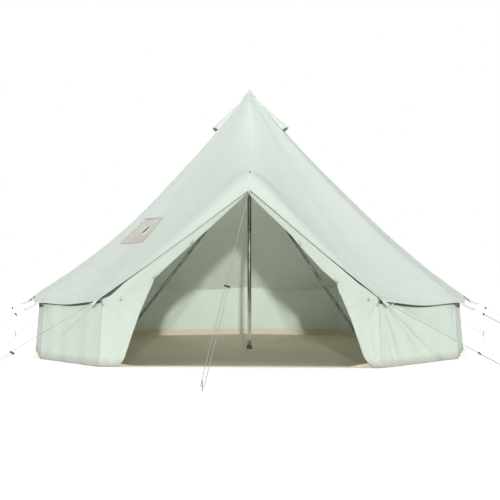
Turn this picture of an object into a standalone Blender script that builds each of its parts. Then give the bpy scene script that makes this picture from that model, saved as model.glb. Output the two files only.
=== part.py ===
import math

import bmesh
import bpy
from mathutils import Matrix, Vector

# Canvas bell tent: a cone of canvas on one centre pole, low walls, and a doorway held up by an A-frame.
# Metres, +Z up. The doorway faces -Y, and angles turn from -Y towards +X.

# Roof

apex_height = 3.06
eave_height = 0.60
eave_radius = 2.58
roof_top_slope = 0.82        # radius gained for each metre of drop beside the apex
roof_curve_power = 2.5       # how late the roof flares out towards the eave
panel_angle = 29.6           # between neighbouring eave corners
side_panels = 4              # panels between the back corner and the last corner beside the doorway
door_right_angle = 30.6      # door corner on the right, turned from the front
door_left_angle = 36.0
door_corner_lift = 0.05      # the doorway pulls its two eave corners up by this much
door_lift_power = 8
roof_lay = 0.0035            # canvas thickness of the roof, measured straight down
roof_rows = 10
front_columns = 6            # in the two panels beside the doorway
next_columns = 2             # in the panels next to those
seam_gap = 0.0003
top_ring_radius = 0.035      # hole at the top of the roof that the pole's spike passes
cap_drop = 0.095             # height of the apex cap
cap_thickness = 0.003

# Ridge over the doorway

brow_setback = 0.43          # from the eave's circle back to the roof's front lip over the doorway
brow_depth = 0.15            # the lip stands this far in front of the A-frame's crown
crown_height = 1.925
crown_share = 0.93           # where the crown sits along the ridge's own line
brow_height = 1.745
ridge_sag = 0.03
brow_power = 1.3

# Walls and door leaves

canvas = 0.0025
eave_overhang = 0.10         # the roof's edge hangs this far out past the top of the wall
wall_splay = 0.05            # the wall's foot stands this far out past its top
wall_columns = 12
wall_rows = 5
wall_fold = 0.006            # depth of the soft upright folds
folds_per_panel = 3
fold_fade = 0.7              # how fast the folds die out towards the eave
leaf_edge_gap = 0.0008
leaf_foot_gap = 0.004
leaf_top_drop = 0.02         # the leaves start this far under the ridge
leaf_centre_gap = 0.004
leaf_columns = 12
leaf_low_rows = 8            # rows below the door corner
leaf_high_rows = 12
leaf_calm_height = 0.35      # the leaf's folds die out over this much above and below the corner
leaf_fold = 0.016
leaf_folds = 2.5
# Height as a share of the doorway, and the tied-back leaf's width there.
left_leaf_widths = ((0.0, 0.25), (0.36, 0.45), (0.47, 0.31), (0.68, 0.21), (0.95, 0.09), (1.0, 0.03))
right_leaf_widths = ((0.0, 0.07), (0.07, 0.17), (0.26, 0.27), (0.38, 0.37), (0.46, 0.26), (0.72, 0.17), (1.0, 0.03))

# Vent hoods

hood_top = 0.20              # below the apex
hood_mouth = 0.50
hood_top_width = 0.034
hood_mouth_width = 0.18
hood_top_rise = 0.016
hood_mouth_rise = 0.105
hood_steps = 4
hood_arc = 8
vent_hole_radius = 0.032
vent_hole_place = 0.62       # share of the way down the hood
vent_cut_depth = 0.08

# Stove jack

jack_panel_size = 0.40
jack_drop = 1.70             # middle of the jack below the apex, along the centre line
jack_place = 0.57            # share of the way across its roof panel, from the side corner to the door corner
jack_thickness = 0.003
jack_lift = 0.0008
flue_place = 0.66
flue_radius = 0.052
roof_hole_margin = 0.022
flue_cut_depth = 0.50
flap_roll_radius = 0.014

# Centre pole

pole_radius = 0.0225
pole_wall = 0.0016
pole_joint_height = 1.39
swage_length = 0.10
swage_clearance = 0.0004
pole_sides = 24
sharp_angle = 40.0           # edges that bend more than this stay crisp
pole_foot_radius = 0.034
pole_foot_height = 0.045
pole_foot_base = 0.008
pole_flange_radius = 0.045
pole_flange_height = 0.006
pole_plug_length = 0.05
spike_radius = 0.007

# A-frame

frame_radius = 0.0125
frame_wall = 0.0014
crown_rod_clearance = 0.0005
crown_rod_reach = 0.14
crown_bare = 0.035           # bent rod left showing at the crown on each side
crown_drop = 0.019           # middle of the crown rod under the roof's underside
crown_setback = 0.012
frame_foot_inset = 0.05      # from the wall corner in to the foot
frame_sides = 16

# Groundsheet

ground_thickness = 0.004
ground_inset = 0.03          # from the wall's foot in to the groundsheet
ground_lip = 0.07
door_lip = 0.012
door_lip_start = 0.30        # the lip runs down to its low height this far in from each door corner

# Guy lines

rope_diameter = 0.005
rope_points = 6
loop_radius = 0.016
loop_steps = 8
loop_height = 0.045
loop_tilt = 22.0
rope_start_gap = 0.0018
loop_gap = 0.0006            # between the rope and its peg
side_reach = 1.12            # from the eave corner out to the peg
back_reach = 0.85
front_peg = (-0.38, -3.93)
door_peg_left = (-2.42, -3.15)
door_peg_right = (2.38, -3.20)
peg_radius = 0.005
peg_height = 0.072
peg_hook = 0.026
slider_length = 0.056
slider_depth = 0.018
slider_thickness = 0.010
slider_hole_radius = 0.0032
slider_hole_sides = 12
side_slider_place = 0.20     # share of the guy line from the tent to its slider
door_slider_place = 0.72
front_slider_place = 0.54

# Sizes that follow

brow_reach = eave_radius - brow_setback
crown_reach = brow_reach - brow_depth
wall_top_radius = eave_radius - eave_overhang
wall_foot_radius = wall_top_radius + wall_splay
roof_drop = apex_height - eave_height
roof_flare = (eave_radius - roof_top_slope * roof_drop) / roof_drop ** roof_curve_power
corner_angles = [door_right_angle]
corner_angles += [180 - panel_angle * k for k in range(side_panels, 0, -1)]
corner_angles += [180 + panel_angle * k for k in range(side_panels + 1)]
corner_angles += [360 - door_left_angle]
meridian_angles = [0.0] + corner_angles + [360.0]
side_corner = meridian_angles.index(180 - panel_angle * (side_panels - 1))
last_meridian = len(meridian_angles) - 1
tent_shift = (eave_radius * math.cos(math.radians(door_right_angle)) - eave_radius) / 2


def heading(angle):
    turn = math.radians(angle)
    return Vector((math.sin(turn), -math.cos(turn), 0.0))


def sideways(angle):
    turn = math.radians(angle)
    return Vector((math.cos(turn), math.sin(turn), 0.0))


def roof_radius(drop):
    return roof_top_slope * drop + roof_flare * drop ** roof_curve_power


def share_at_radius(radius):
    low, high = 0.0, 1.0
    for _ in range(60):
        middle = (low + high) / 2
        if roof_radius(middle * roof_drop) < radius:
            low = middle
        else:
            high = middle
    return (low + high) / 2


def corner_line(angle, share):
    point = heading(angle) * roof_radius(share * roof_drop)
    point.z = apex_height - share * roof_drop
    if angle in (door_right_angle, 360 - door_left_angle):
        point.z += door_corner_lift * share ** door_lift_power
    return point


def ridge_line(share):
    if share <= crown_share:
        part = share / crown_share
        height = apex_height - (apex_height - crown_height) * part - ridge_sag * math.sin(math.pi * part)
        return Vector((0.0, -crown_reach * part, height))
    part = (share - crown_share) / (1 - crown_share)
    height = crown_height - (crown_height - brow_height) * part ** brow_power
    return Vector((0.0, -crown_reach - (brow_reach - crown_reach) * part, height))


wall_share = share_at_radius(wall_top_radius)
first_share = top_ring_radius / (roof_top_slope * roof_drop)
stations = [first_share + (crown_share - first_share) * k / roof_rows for k in range(roof_rows + 1)]
stations = sorted(stations + [wall_share, 1.0])


def meridian_exact(index, share):
    angle = meridian_angles[index]
    return ridge_line(share) if angle in (0.0, 360.0) else corner_line(angle, share)


def meridian(index, share):
    """Point on the roof's straight-sided line between two stations."""
    if share <= stations[0]:
        return meridian_exact(index, share)
    for low, high in zip(stations, stations[1:]):
        if share <= high + 1e-9:
            part = (share - low) / (high - low)
            return meridian_exact(index, low).lerp(meridian_exact(index, high), part)
    return meridian_exact(index, 1.0)


def roof_point(gore, across, share):
    return meridian(gore, share).lerp(meridian(gore + 1, share), across)


# Blender helpers

for old in list(bpy.data.objects):
    bpy.data.objects.remove(old, do_unlink=True)

tent = bpy.data.objects.new("tent_frame", None)
tent.location = (0.0, tent_shift, 0.0)
bpy.context.collection.objects.link(tent)


def finish(name, red, green, blue, roughness, metallic=0.0):
    material = bpy.data.materials.new(name)
    material.use_nodes = True
    shader = material.node_tree.nodes["Principled BSDF"]
    shader.inputs["Base Color"].default_value = (red, green, blue, 1.0)
    shader.inputs["Roughness"].default_value = roughness
    shader.inputs["Metallic"].default_value = metallic
    material.diffuse_color = (red, green, blue, 1.0)
    return material


roof_canvas = finish("roof_canvas", 0.66, 0.74, 0.67, 0.9)
wall_canvas = finish("wall_canvas", 0.62, 0.71, 0.64, 0.9)
trim_canvas = finish("trim_canvas", 0.70, 0.77, 0.71, 0.9)
heat_panel = finish("heat_panel", 0.62, 0.55, 0.52, 0.7)
ground_sheet_cloth = finish("groundsheet_cloth", 0.45, 0.46, 0.44, 0.6)
pole_steel = finish("pole_steel", 0.55, 0.55, 0.53, 0.35, 1.0)
frame_steel = finish("frame_steel", 0.45, 0.46, 0.45, 0.4, 1.0)
dark_plastic = finish("dark_plastic", 0.05, 0.05, 0.05, 0.5)
slider_plastic = finish("slider_plastic", 0.10, 0.08, 0.06, 0.6)
guy_rope = finish("guy_rope", 0.78, 0.78, 0.73, 0.8)
peg_steel = finish("peg_steel", 0.50, 0.50, 0.49, 0.4, 1.0)


def add_object(name, mesh, material, origin=Vector((0.0, 0.0, 0.0))):
    mesh.transform(Matrix.Translation(-origin))
    mesh.materials.append(material)
    piece = bpy.data.objects.new(name, mesh)
    piece.location = origin
    piece.parent = tent
    bpy.context.collection.objects.link(piece)
    return piece


def mesh_from(name, points, faces, smooth=False):
    mesh = bpy.data.meshes.new(name)
    mesh.from_pydata([tuple(point) for point in points], [], faces)
    shape = bmesh.new()
    shape.from_mesh(mesh)
    bmesh.ops.recalc_face_normals(shape, faces=shape.faces)
    shape.to_mesh(mesh)
    shape.free()
    if smooth:
        mesh.shade_smooth()
        mesh.set_sharp_from_angle(angle=math.radians(sharp_angle))
    return mesh


def sheet(name, upper, lower, material, origin=Vector((0.0, 0.0, 0.0))):
    """Closed sheet between two grids of points, each a list of rows."""
    rows, columns = len(upper), len(upper[0])
    points = [point for row in upper for point in row] + [point for row in lower for point in row]
    under = rows * columns

    def at(row, column, layer=0):
        return layer + row * columns + column

    faces = []
    for row in range(rows - 1):
        for column in range(columns - 1):
            corners = [(row, column), (row, column + 1), (row + 1, column + 1), (row + 1, column)]
            faces.append([at(*corner) for corner in corners])
            faces.append([at(*corner, under) for corner in reversed(corners)])
    rim = [(0, column) for column in range(columns)]
    rim += [(row, columns - 1) for row in range(1, rows)]
    rim += [(rows - 1, column) for column in range(columns - 2, -1, -1)]
    rim += [(row, 0) for row in range(rows - 2, 0, -1)]
    for here, after in zip(rim, rim[1:] + rim[:1]):
        faces.append([at(*here), at(*here, under), at(*after, under), at(*after)])
    return add_object(name, mesh_from(name, points, faces), material, origin)


def turned(name, profile, sides, material, place=Vector((0.0, 0.0, 0.0)), closed=False):
    """Body turned about Z. A closed profile makes a tube, an open one starts and ends on the axis."""
    points, rings = [], []
    for radius, height in profile:
        if radius == 0.0:
            rings.append([len(points)] * sides)
            points.append(Vector((0.0, 0.0, height)))
            continue
        rings.append([len(points) + k for k in range(sides)])
        for k in range(sides):
            turn = 2 * math.pi * k / sides
            points.append(Vector((radius * math.cos(turn), radius * math.sin(turn), height)))
    pairs = list(zip(rings, rings[1:]))
    if closed:
        pairs.append((rings[-1], rings[0]))
    faces = []
    for low, high in pairs:
        for k in range(sides):
            after = (k + 1) % sides
            corners = [low[k], low[after], high[after], high[k]]
            faces.append(list(dict.fromkeys(corners)))
    mesh = mesh_from(name, points, faces, smooth=True)
    mesh.transform(Matrix.Translation(place))
    return add_object(name, mesh, material)


def tube(name, start, end, outer, inner, sides, material):
    """Straight open tube between two points."""
    length = (end - start).length
    turn = (end - start).to_track_quat("Z", "Y").to_matrix().to_4x4()
    profile = [(inner, 0.0), (outer, 0.0), (outer, length), (inner, length)]
    piece = turned(name, profile, sides, material, closed=True)
    piece.data.transform(Matrix.Translation(start) @ turn)
    return piece


def rope_like(name, points, radius, material, resolution=2):
    curve = bpy.data.curves.new(name, "CURVE")
    curve.dimensions = "3D"
    curve.bevel_depth = radius
    curve.bevel_resolution = resolution
    curve.use_fill_caps = True
    curve.render_resolution_u = 0
    line = curve.splines.new("POLY")
    line.points.add(len(points) - 1)
    for spot, point in zip(line.points, points):
        spot.co = (*point, 1.0)
    curve.materials.append(material)
    piece = bpy.data.objects.new(name, curve)
    piece.parent = tent
    bpy.context.collection.objects.link(piece)
    return piece


def cut(piece, cutter):
    cutter.hide_render = True
    cutter.display_type = "WIRE"
    modifier = piece.modifiers.new("hole", "BOOLEAN")
    modifier.operation = "DIFFERENCE"
    modifier.object = cutter


def even_triangles(piece):
    """Splits the faces round a cut without thin slivers."""
    modifier = piece.modifiers.new("triangles", "TRIANGULATE")
    modifier.quad_method = "BEAUTY"
    modifier.ngon_method = "BEAUTY"


def round_cutter(name, centre, direction, radius, length, sides=20):
    shape = bmesh.new()
    bmesh.ops.create_cone(shape, cap_ends=True, segments=sides, radius1=radius, radius2=radius, depth=length)
    mesh = bpy.data.meshes.new(name)
    shape.to_mesh(mesh)
    shape.free()
    turn = direction.to_track_quat("Z", "Y").to_matrix().to_4x4()
    mesh.transform(Matrix.Translation(centre) @ turn)
    return add_object(name, mesh, dark_plastic)


# Roof panels, sewn in quarters

def roof_quarter(name, first, last):
    upper = []
    for share in stations:
        row = []
        for gore in range(first, last):
            steps = front_columns if gore in (0, last_meridian - 1) else 1
            if gore in (1, last_meridian - 2):
                steps = next_columns
            for step in range(steps + (gore == last - 1)):
                row.append(roof_point(gore, step / steps, share))
        row[0] = row[0] + sideways(meridian_angles[first]) * seam_gap / 2
        row[-1] = row[-1] - sideways(meridian_angles[last]) * seam_gap / 2
        upper.append(row)
    lay = Vector((0.0, 0.0, roof_lay))
    lower = [[point - lay for point in row] for row in upper]
    return sheet(name, upper, lower, roof_canvas)


back_corner = meridian_angles.index(180.0)
left_side_corner = last_meridian - side_corner
roof_front_right = roof_quarter("roof_front_right", 0, side_corner)
roof_quarter("roof_back_right", side_corner, back_corner)
roof_quarter("roof_back_left", back_corner, left_side_corner)
roof_front_left = roof_quarter("roof_front_left", left_side_corner, last_meridian)


def apex_cap():
    """Small canvas cone that keeps rain off the top ring."""
    cap_share = cap_drop / roof_drop
    shares = [first_share * 0.5, first_share, cap_share]
    lift_under = Vector((0.0, 0.0, seam_gap))
    lift_over = Vector((0.0, 0.0, seam_gap + cap_thickness))
    around = [(gore, 0.0) for gore in range(last_meridian)]
    points, rings = [], []
    for lift, order in ((lift_under, shares), (lift_over, shares[::-1])):
        for share in order:
            rings.append([len(points) + k for k in range(len(around))])
            points += [roof_point(gore, across, share) + lift for gore, across in around]
    faces = []
    for low, high in zip(rings, rings[1:]):
        for k in range(len(around)):
            after = (k + 1) % len(around)
            faces.append([low[k], low[after], high[after], high[k]])
    for ring, lift in ((rings[0], lift_under), (rings[-1], lift_over)):
        top = len(points)
        points.append(Vector((0.0, 0.0, apex_height)) + lift)
        faces += [[top, ring[k], ring[(k + 1) % len(ring)]] for k in range(len(ring))]
    add_object("apex_cap", mesh_from("apex_cap", points, faces), trim_canvas)


apex_cap()


# Vent hoods over two holes high in the roof

def vent_hood(name, gore, roof):
    start = roof_point(gore, 0.5, hood_top / roof_drop)
    end = roof_point(gore, 0.5, hood_mouth / roof_drop)
    down = (end - start).normalized()
    middle_angle = (meridian_angles[gore] + meridian_angles[gore + 1]) / 2
    along = sideways(middle_angle)
    out = along.cross(down).normalized()
    if out.z < 0:
        out = -out
    points, rings = [], []
    for step in range(hood_steps + 1):
        part = step / hood_steps
        centre = start.lerp(end, part) + out * seam_gap * 2
        half_width = (hood_top_width + (hood_mouth_width - hood_top_width) * part) / 2
        rise = hood_top_rise + (hood_mouth_rise - hood_top_rise) * part
        ring = []
        for layer in (0.0, canvas):
            arc = []
            for k in range(hood_arc + 1):
                turn = math.pi * k / hood_arc
                spot = along * (half_width - layer) * math.cos(turn) + out * (rise - layer) * math.sin(turn)
                arc.append(centre + spot)
            ring += arc if layer == 0.0 else arc[::-1]
        rings.append([len(points) + k for k in range(len(ring))])
        points += ring
    faces = []
    count = len(rings[0])
    for low, high in zip(rings, rings[1:]):
        for k in range(count):
            after = (k + 1) % count
            faces.append([low[k], low[after], high[after], high[k]])
    for ring in (rings[0], rings[-1]):
        for k in range(hood_arc):
            faces.append([ring[k], ring[k + 1], ring[count - 2 - k], ring[count - 1 - k]])
    add_object(name, mesh_from(name, points, faces), trim_canvas)
    hole = start.lerp(end, vent_hole_place)
    cut(roof, round_cutter(name + "_hole", hole, out, vent_hole_radius, vent_cut_depth))


vent_hood("vent_hood_right", side_corner - 1, roof_front_right)
vent_hood("vent_hood_left", left_side_corner, roof_front_left)


# Stove jack: a heat-proof panel with a pipe hole, and its cover rolled up above it

jack_gore = left_side_corner + 1


def jack_spans():
    middle = jack_drop / roof_drop
    left = meridian(jack_gore, middle)
    right = meridian(jack_gore + 1, middle)
    half_across = jack_panel_size / 2 / (right - left).length
    step = 0.01
    run = (roof_point(jack_gore, jack_place, middle + step) - roof_point(jack_gore, jack_place, middle)).length
    half_down = jack_panel_size / 2 * step / run
    return jack_place - half_across, jack_place + half_across, middle - half_down, middle + half_down


jack_from, jack_to, jack_high, jack_low = jack_spans()


def stove_jack():
    shares = [jack_high] + [s for s in stations if jack_high < s < jack_low] + [jack_low]
    columns = [jack_from, (jack_from + jack_to) / 2, jack_to]
    surface = [[roof_point(jack_gore, across, share) for across in columns] for share in shares]
    under = Vector((0.0, 0.0, jack_lift))
    over = Vector((0.0, 0.0, jack_lift + jack_thickness))
    panel = sheet(
        "stove_jack_panel",
        [[point + over for point in row] for row in surface],
        [[point + under for point in row] for row in surface],
        heat_panel,
    )
    centre = roof_point(jack_gore, flue_place, jack_drop / roof_drop)
    upright = Vector((0.0, 0.0, 1.0))
    cut(panel, round_cutter("flue_hole", centre, upright, flue_radius, flue_cut_depth))
    roof_hole = flue_radius + roof_hole_margin
    print("flue at", [round(v, 4) for v in centre + Vector((0.0, tent_shift, 0.0))])
    cut(roof_front_left, round_cutter("flue_roof_hole", centre, upright, roof_hole, flue_cut_depth))


def jack_cover():
    left = roof_point(jack_gore, jack_from, jack_high)
    right = roof_point(jack_gore, jack_to, jack_high)
    down = (roof_point(jack_gore, jack_from, jack_low) - left).normalized()
    out = (right - left).cross(down).normalized()
    if out.z < 0:
        out = -out
    lift = out * (flap_roll_radius + jack_lift) - down * (flap_roll_radius + jack_thickness)
    start, end = left + lift, right + lift
    turn = (end - start).to_track_quat("Z", "Y").to_matrix().to_4x4()
    length = (end - start).length
    radius = flap_roll_radius
    bead = radius * 0.25
    profile = [(0.0, 0.0), (radius - bead, 0.0), (radius, bead)]
    profile += [(radius, length - bead), (radius - bead, length), (0.0, length)]
    roll = turned("stove_jack_cover_roll", profile, 12, trim_canvas)
    roll.data.transform(Matrix.Translation(start) @ turn)


stove_jack()
jack_cover()
even_triangles(roof_front_left)
even_triangles(roof_front_right)


# Walls, in four runs of panels

def wall_corner(index, height_share):
    """Outer corner of the wall; 0 is the foot and 1 the top, under the roof."""
    angle = meridian_angles[index]
    top = meridian(index, wall_share)
    radius = wall_foot_radius + (wall_top_radius - wall_foot_radius) * height_share
    point = heading(angle) * radius
    point.z = (top.z - roof_lay - seam_gap) * height_share
    return point


def flat_normal(first, second):
    """Level direction out of the tent for a wall between two corners."""
    run = second - first
    normal = Vector((run.y, -run.x, 0.0)).normalized()
    return normal if normal.dot(first + second) > 0 else -normal


def mitre(first_normal, second_normal):
    return (first_normal + second_normal) / (1 + first_normal.dot(second_normal))


def leaf_normal(side):
    index = 1 if side > 0 else last_meridian - 1
    return flat_normal(wall_corner(index, 0.0), ridge_line(wall_share))


def wall_run(name, first, last):
    normals = [flat_normal(wall_corner(k, 0.0), wall_corner(k + 1, 0.0)) for k in range(last_meridian)]
    normals[0] = leaf_normal(1)
    normals[-1] = leaf_normal(-1)
    outer, inner = [], []
    for row_number in range(wall_rows + 1):
        level = row_number / wall_rows
        outer_row, inner_row = [], []
        for panel in range(first, last):
            for step in range(wall_columns + (panel == last - 1)):
                part = step / wall_columns
                point = wall_corner(panel, level).lerp(wall_corner(panel + 1, level), part)
                wave = math.sin(2 * math.pi * folds_per_panel * part) * math.sin(math.pi * part)
                point += normals[panel] * wall_fold * wave * (1 - level) ** fold_fade
                depth = normals[panel]
                if step == 0:
                    depth = mitre(normals[panel], normals[panel - 1])
                if step == wall_columns:
                    depth = mitre(normals[panel], normals[(panel + 1) % last_meridian])
                outer_row.append(point)
                inner_row.append(point - depth * canvas)
        for row in (outer_row, inner_row):
            row[0] = row[0] + sideways(meridian_angles[first]) * seam_gap / 2
            row[-1] = row[-1] - sideways(meridian_angles[last]) * seam_gap / 2
        outer.append(outer_row)
        inner.append(inner_row)
    sheet(name, outer, inner, wall_canvas)


wall_run("wall_front_right", 1, side_corner)
wall_run("wall_back_right", side_corner, back_corner)
wall_run("wall_back_left", back_corner, left_side_corner)
wall_run("wall_front_left", left_side_corner, last_meridian - 1)


# Door leaves, tied back to the two door corners and hinged on their sewn upper edges

def width_at(widths, share):
    for (low, narrow), (high, wide) in zip(widths, widths[1:]):
        if share <= high:
            part = (share - low) / (high - low)
            return narrow + (wide - narrow) * part
    return widths[-1][1]


def door_leaf(name, side, widths):
    index = 1 if side > 0 else last_meridian - 1
    drop = Vector((0.0, 0.0, roof_lay + seam_gap * 2))
    top = ridge_line(wall_share) - drop
    corner = wall_corner(index, 1.0) - Vector((0.0, 0.0, seam_gap))
    foot = wall_corner(index, 0.0)
    normal = (corner - top).cross(foot - corner).normalized()
    if normal.y > 0:
        normal = -normal

    def on_leaf(x, z):
        y = top.y - (normal.x * (x - top.x) + normal.z * (z - top.z)) / normal.y
        return Vector((x, y, z))

    def sewn_edge(z):
        if z >= corner.z:
            part = (z - corner.z) / (top.z - corner.z)
            return corner.x + (top.x - corner.x) * part
        return foot.x + (corner.x - foot.x) * z / corner.z

    high, low = top.z - leaf_top_drop, leaf_foot_gap
    heights = [low + (corner.z - low) * k / leaf_low_rows for k in range(leaf_low_rows)]
    heights += [corner.z + (high - corner.z) * k / leaf_high_rows for k in range(leaf_high_rows + 1)]
    front, back = [], []
    for z in heights:
        edge = sewn_edge(z) - side * leaf_edge_gap
        width = min(width_at(widths, z / top.z), abs(edge) - leaf_centre_gap)
        front_row, back_row = [], []
        for step in range(leaf_columns + 1):
            part = step / leaf_columns
            point = on_leaf(edge - side * width * part, z)
            calm = min(1.0, max(0.0, (corner.z + leaf_calm_height - z) / (2 * leaf_calm_height)))
            wave = (1 - math.cos(2 * math.pi * leaf_folds * part)) / 2 * min(1.0, part * 3)
            point += normal * leaf_fold * wave * calm
            front_row.append(point)
            back_row.append(point - normal * canvas)
        front.append(front_row)
        back.append(back_row)
    sheet(name, front, back, wall_canvas, corner)
    print(name, "hinge at", [round(v, 4) for v in corner], "towards", [round(v, 4) for v in top])


door_leaf("door_leaf_left", -1, left_leaf_widths)
door_leaf("door_leaf_right", 1, right_leaf_widths)


# Groundsheet with a raised edge, low across the doorway

def groundsheet():
    rim = []
    radius = wall_foot_radius - ground_inset
    corners = [heading(angle) * radius for angle in corner_angles]
    for corner in corners:
        rim.append((corner, ground_lip))
    left, right = corners[-1], corners[0]
    across = (right - left).normalized()
    rim.append((left + across * door_lip_start, door_lip))
    rim.append((right - across * door_lip_start, door_lip))
    points, rings = [], []
    for level in range(4):
        rings.append([len(points) + k for k in range(len(rim))])
        for spot, lip in rim:
            inset = spot * (1 - ground_thickness / spot.length) if level > 1 else spot.copy()
            inset.z = (0.0, lip, lip, ground_thickness)[level]
            points.append(inset)
    faces = [rings[0][::-1], rings[3]]
    for low, high in zip(rings, rings[1:]):
        for k in range(len(rim)):
            after = (k + 1) % len(rim)
            faces.append([low[k], low[after], high[after], high[k]])
    add_object("groundsheet", mesh_from("groundsheet", points, faces), ground_sheet_cloth)


groundsheet()


# Centre pole in two tubes, with a foot cup below and a spike above

floor_level = ground_thickness + seam_gap
pole_start = floor_level + pole_foot_base + seam_gap
pole_bore = pole_radius - pole_wall
flange_contact = pole_flange_radius / math.cos(math.radians(panel_angle / 2))
flange_top = apex_height - flange_contact / roof_top_slope - roof_lay - seam_gap
pole_top = flange_top - pole_flange_height - seam_gap
spike_top = apex_height - spike_radius / roof_top_slope


def centre_pole():
    cup_bore = pole_radius + seam_gap
    foot_top = floor_level + pole_foot_height
    cup = [(0.0, floor_level), (pole_foot_radius, floor_level), (pole_foot_radius * 0.85, foot_top)]
    cup += [(cup_bore, foot_top), (cup_bore, floor_level + pole_foot_base), (0.0, floor_level + pole_foot_base)]
    turned("centre_pole_foot", cup, pole_sides, dark_plastic)
    lower = [(pole_bore, pole_start), (pole_radius, pole_start)]
    lower += [(pole_radius, pole_joint_height), (pole_bore, pole_joint_height)]
    turned("centre_pole_lower", lower, pole_sides, pole_steel, closed=True)
    swage = pole_bore - swage_clearance
    joint = pole_joint_height + seam_gap
    bore = swage - pole_wall
    upper = [(bore, joint - swage_length), (swage, joint - swage_length), (swage, joint)]
    upper += [(pole_radius, joint), (pole_radius, pole_top), (bore, pole_top)]
    turned("centre_pole_upper", upper, pole_sides, pole_steel, closed=True)
    plug = bore - swage_clearance
    flange_base = pole_top + seam_gap
    spike = [(0.0, flange_base - pole_plug_length), (plug, flange_base - pole_plug_length), (plug, flange_base)]
    spike += [(pole_flange_radius, flange_base), (pole_flange_radius, flange_top)]
    spike += [(spike_radius, flange_top), (spike_radius, spike_top - spike_radius), (0.0, spike_top)]
    turned("centre_pole_spike", spike, pole_sides, pole_steel)


centre_pole()


# A-frame: two tubular legs on one bent crown rod

def a_frame():
    crown = Vector((0.0, crown_setback - crown_reach, crown_height - roof_lay - crown_drop))
    bore = frame_radius - frame_wall
    directions = []
    for name, angle in (("a_frame_leg_left", 360 - door_left_angle), ("a_frame_leg_right", door_right_angle)):
        foot = heading(angle) * (wall_foot_radius - frame_foot_inset)
        foot.z = floor_level
        direction = (foot - crown).normalized()
        foot.z += frame_radius * math.sqrt(1 - direction.z ** 2)
        direction = (foot - crown).normalized()
        directions.append(direction)
        tube(name, crown + direction * crown_bare, foot, frame_radius, bore, frame_sides, frame_steel)
    left, right = directions
    bend = crown + (left + right) * crown_bare * 0.25
    path = [crown + left * crown_rod_reach, crown + left * crown_bare * 0.8, bend]
    path += [crown + right * crown_bare * 0.8, crown + right * crown_rod_reach]
    rope_like("a_frame_crown", path, bore - crown_rod_clearance, frame_steel, resolution=2)


a_frame()


# Guy lines, each a rope from the tent round a peg and back to its slider

def peg_mesh():
    hook = peg_hook
    return [
        Vector((0.0, 0.0, 0.0)),
        Vector((0.0, 0.0, peg_height)),
        Vector((hook * 0.3, 0.0, peg_height + hook * 0.45)),
        Vector((hook * 0.75, 0.0, peg_height + hook * 0.5)),
        Vector((hook * 1.1, 0.0, peg_height + hook * 0.2)),
        Vector((hook * 1.2, 0.0, peg_height - hook * 0.2)),
    ]


def slider_mesh():
    """Flat bar with two holes along Z, centred on its origin, long side along X."""
    shape = bmesh.new()
    half_length, half_depth = slider_length / 2, slider_depth / 2
    corner = half_depth * 0.45
    outline = []
    for sx, sy in ((1, 1), (-1, 1), (-1, -1), (1, -1)):
        first = (sx * half_length, sy * (half_depth - corner))
        second = (sx * (half_length - corner), sy * half_depth)
        outline += [first, second] if sx * sy > 0 else [second, first]
    loops = [outline]
    for centre in (-loop_radius, loop_radius):
        turns = [2 * math.pi * k / slider_hole_sides for k in range(slider_hole_sides)]
        loops.append([
            (centre + slider_hole_radius * math.cos(turn), slider_hole_radius * math.sin(turn)) for turn in turns
        ])
    edges = []
    for loop in loops:
        spots = [shape.verts.new((x, y, -slider_thickness / 2)) for x, y in loop]
        edges += [shape.edges.new((spots[k], spots[(k + 1) % len(spots)])) for k in range(len(spots))]
    bmesh.ops.triangle_fill(shape, use_beauty=True, use_dissolve=False, edges=edges)
    made = bmesh.ops.extrude_face_region(shape, geom=list(shape.faces))
    raised = [item for item in made["geom"] if isinstance(item, bmesh.types.BMVert)]
    bmesh.ops.translate(shape, verts=raised, vec=(0.0, 0.0, slider_thickness))
    bmesh.ops.recalc_face_normals(shape, faces=shape.faces)
    mesh = bpy.data.meshes.new("guy_slider")
    shape.to_mesh(mesh)
    shape.free()
    mesh.materials.append(slider_plastic)
    return mesh


shared_slider = slider_mesh()


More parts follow.
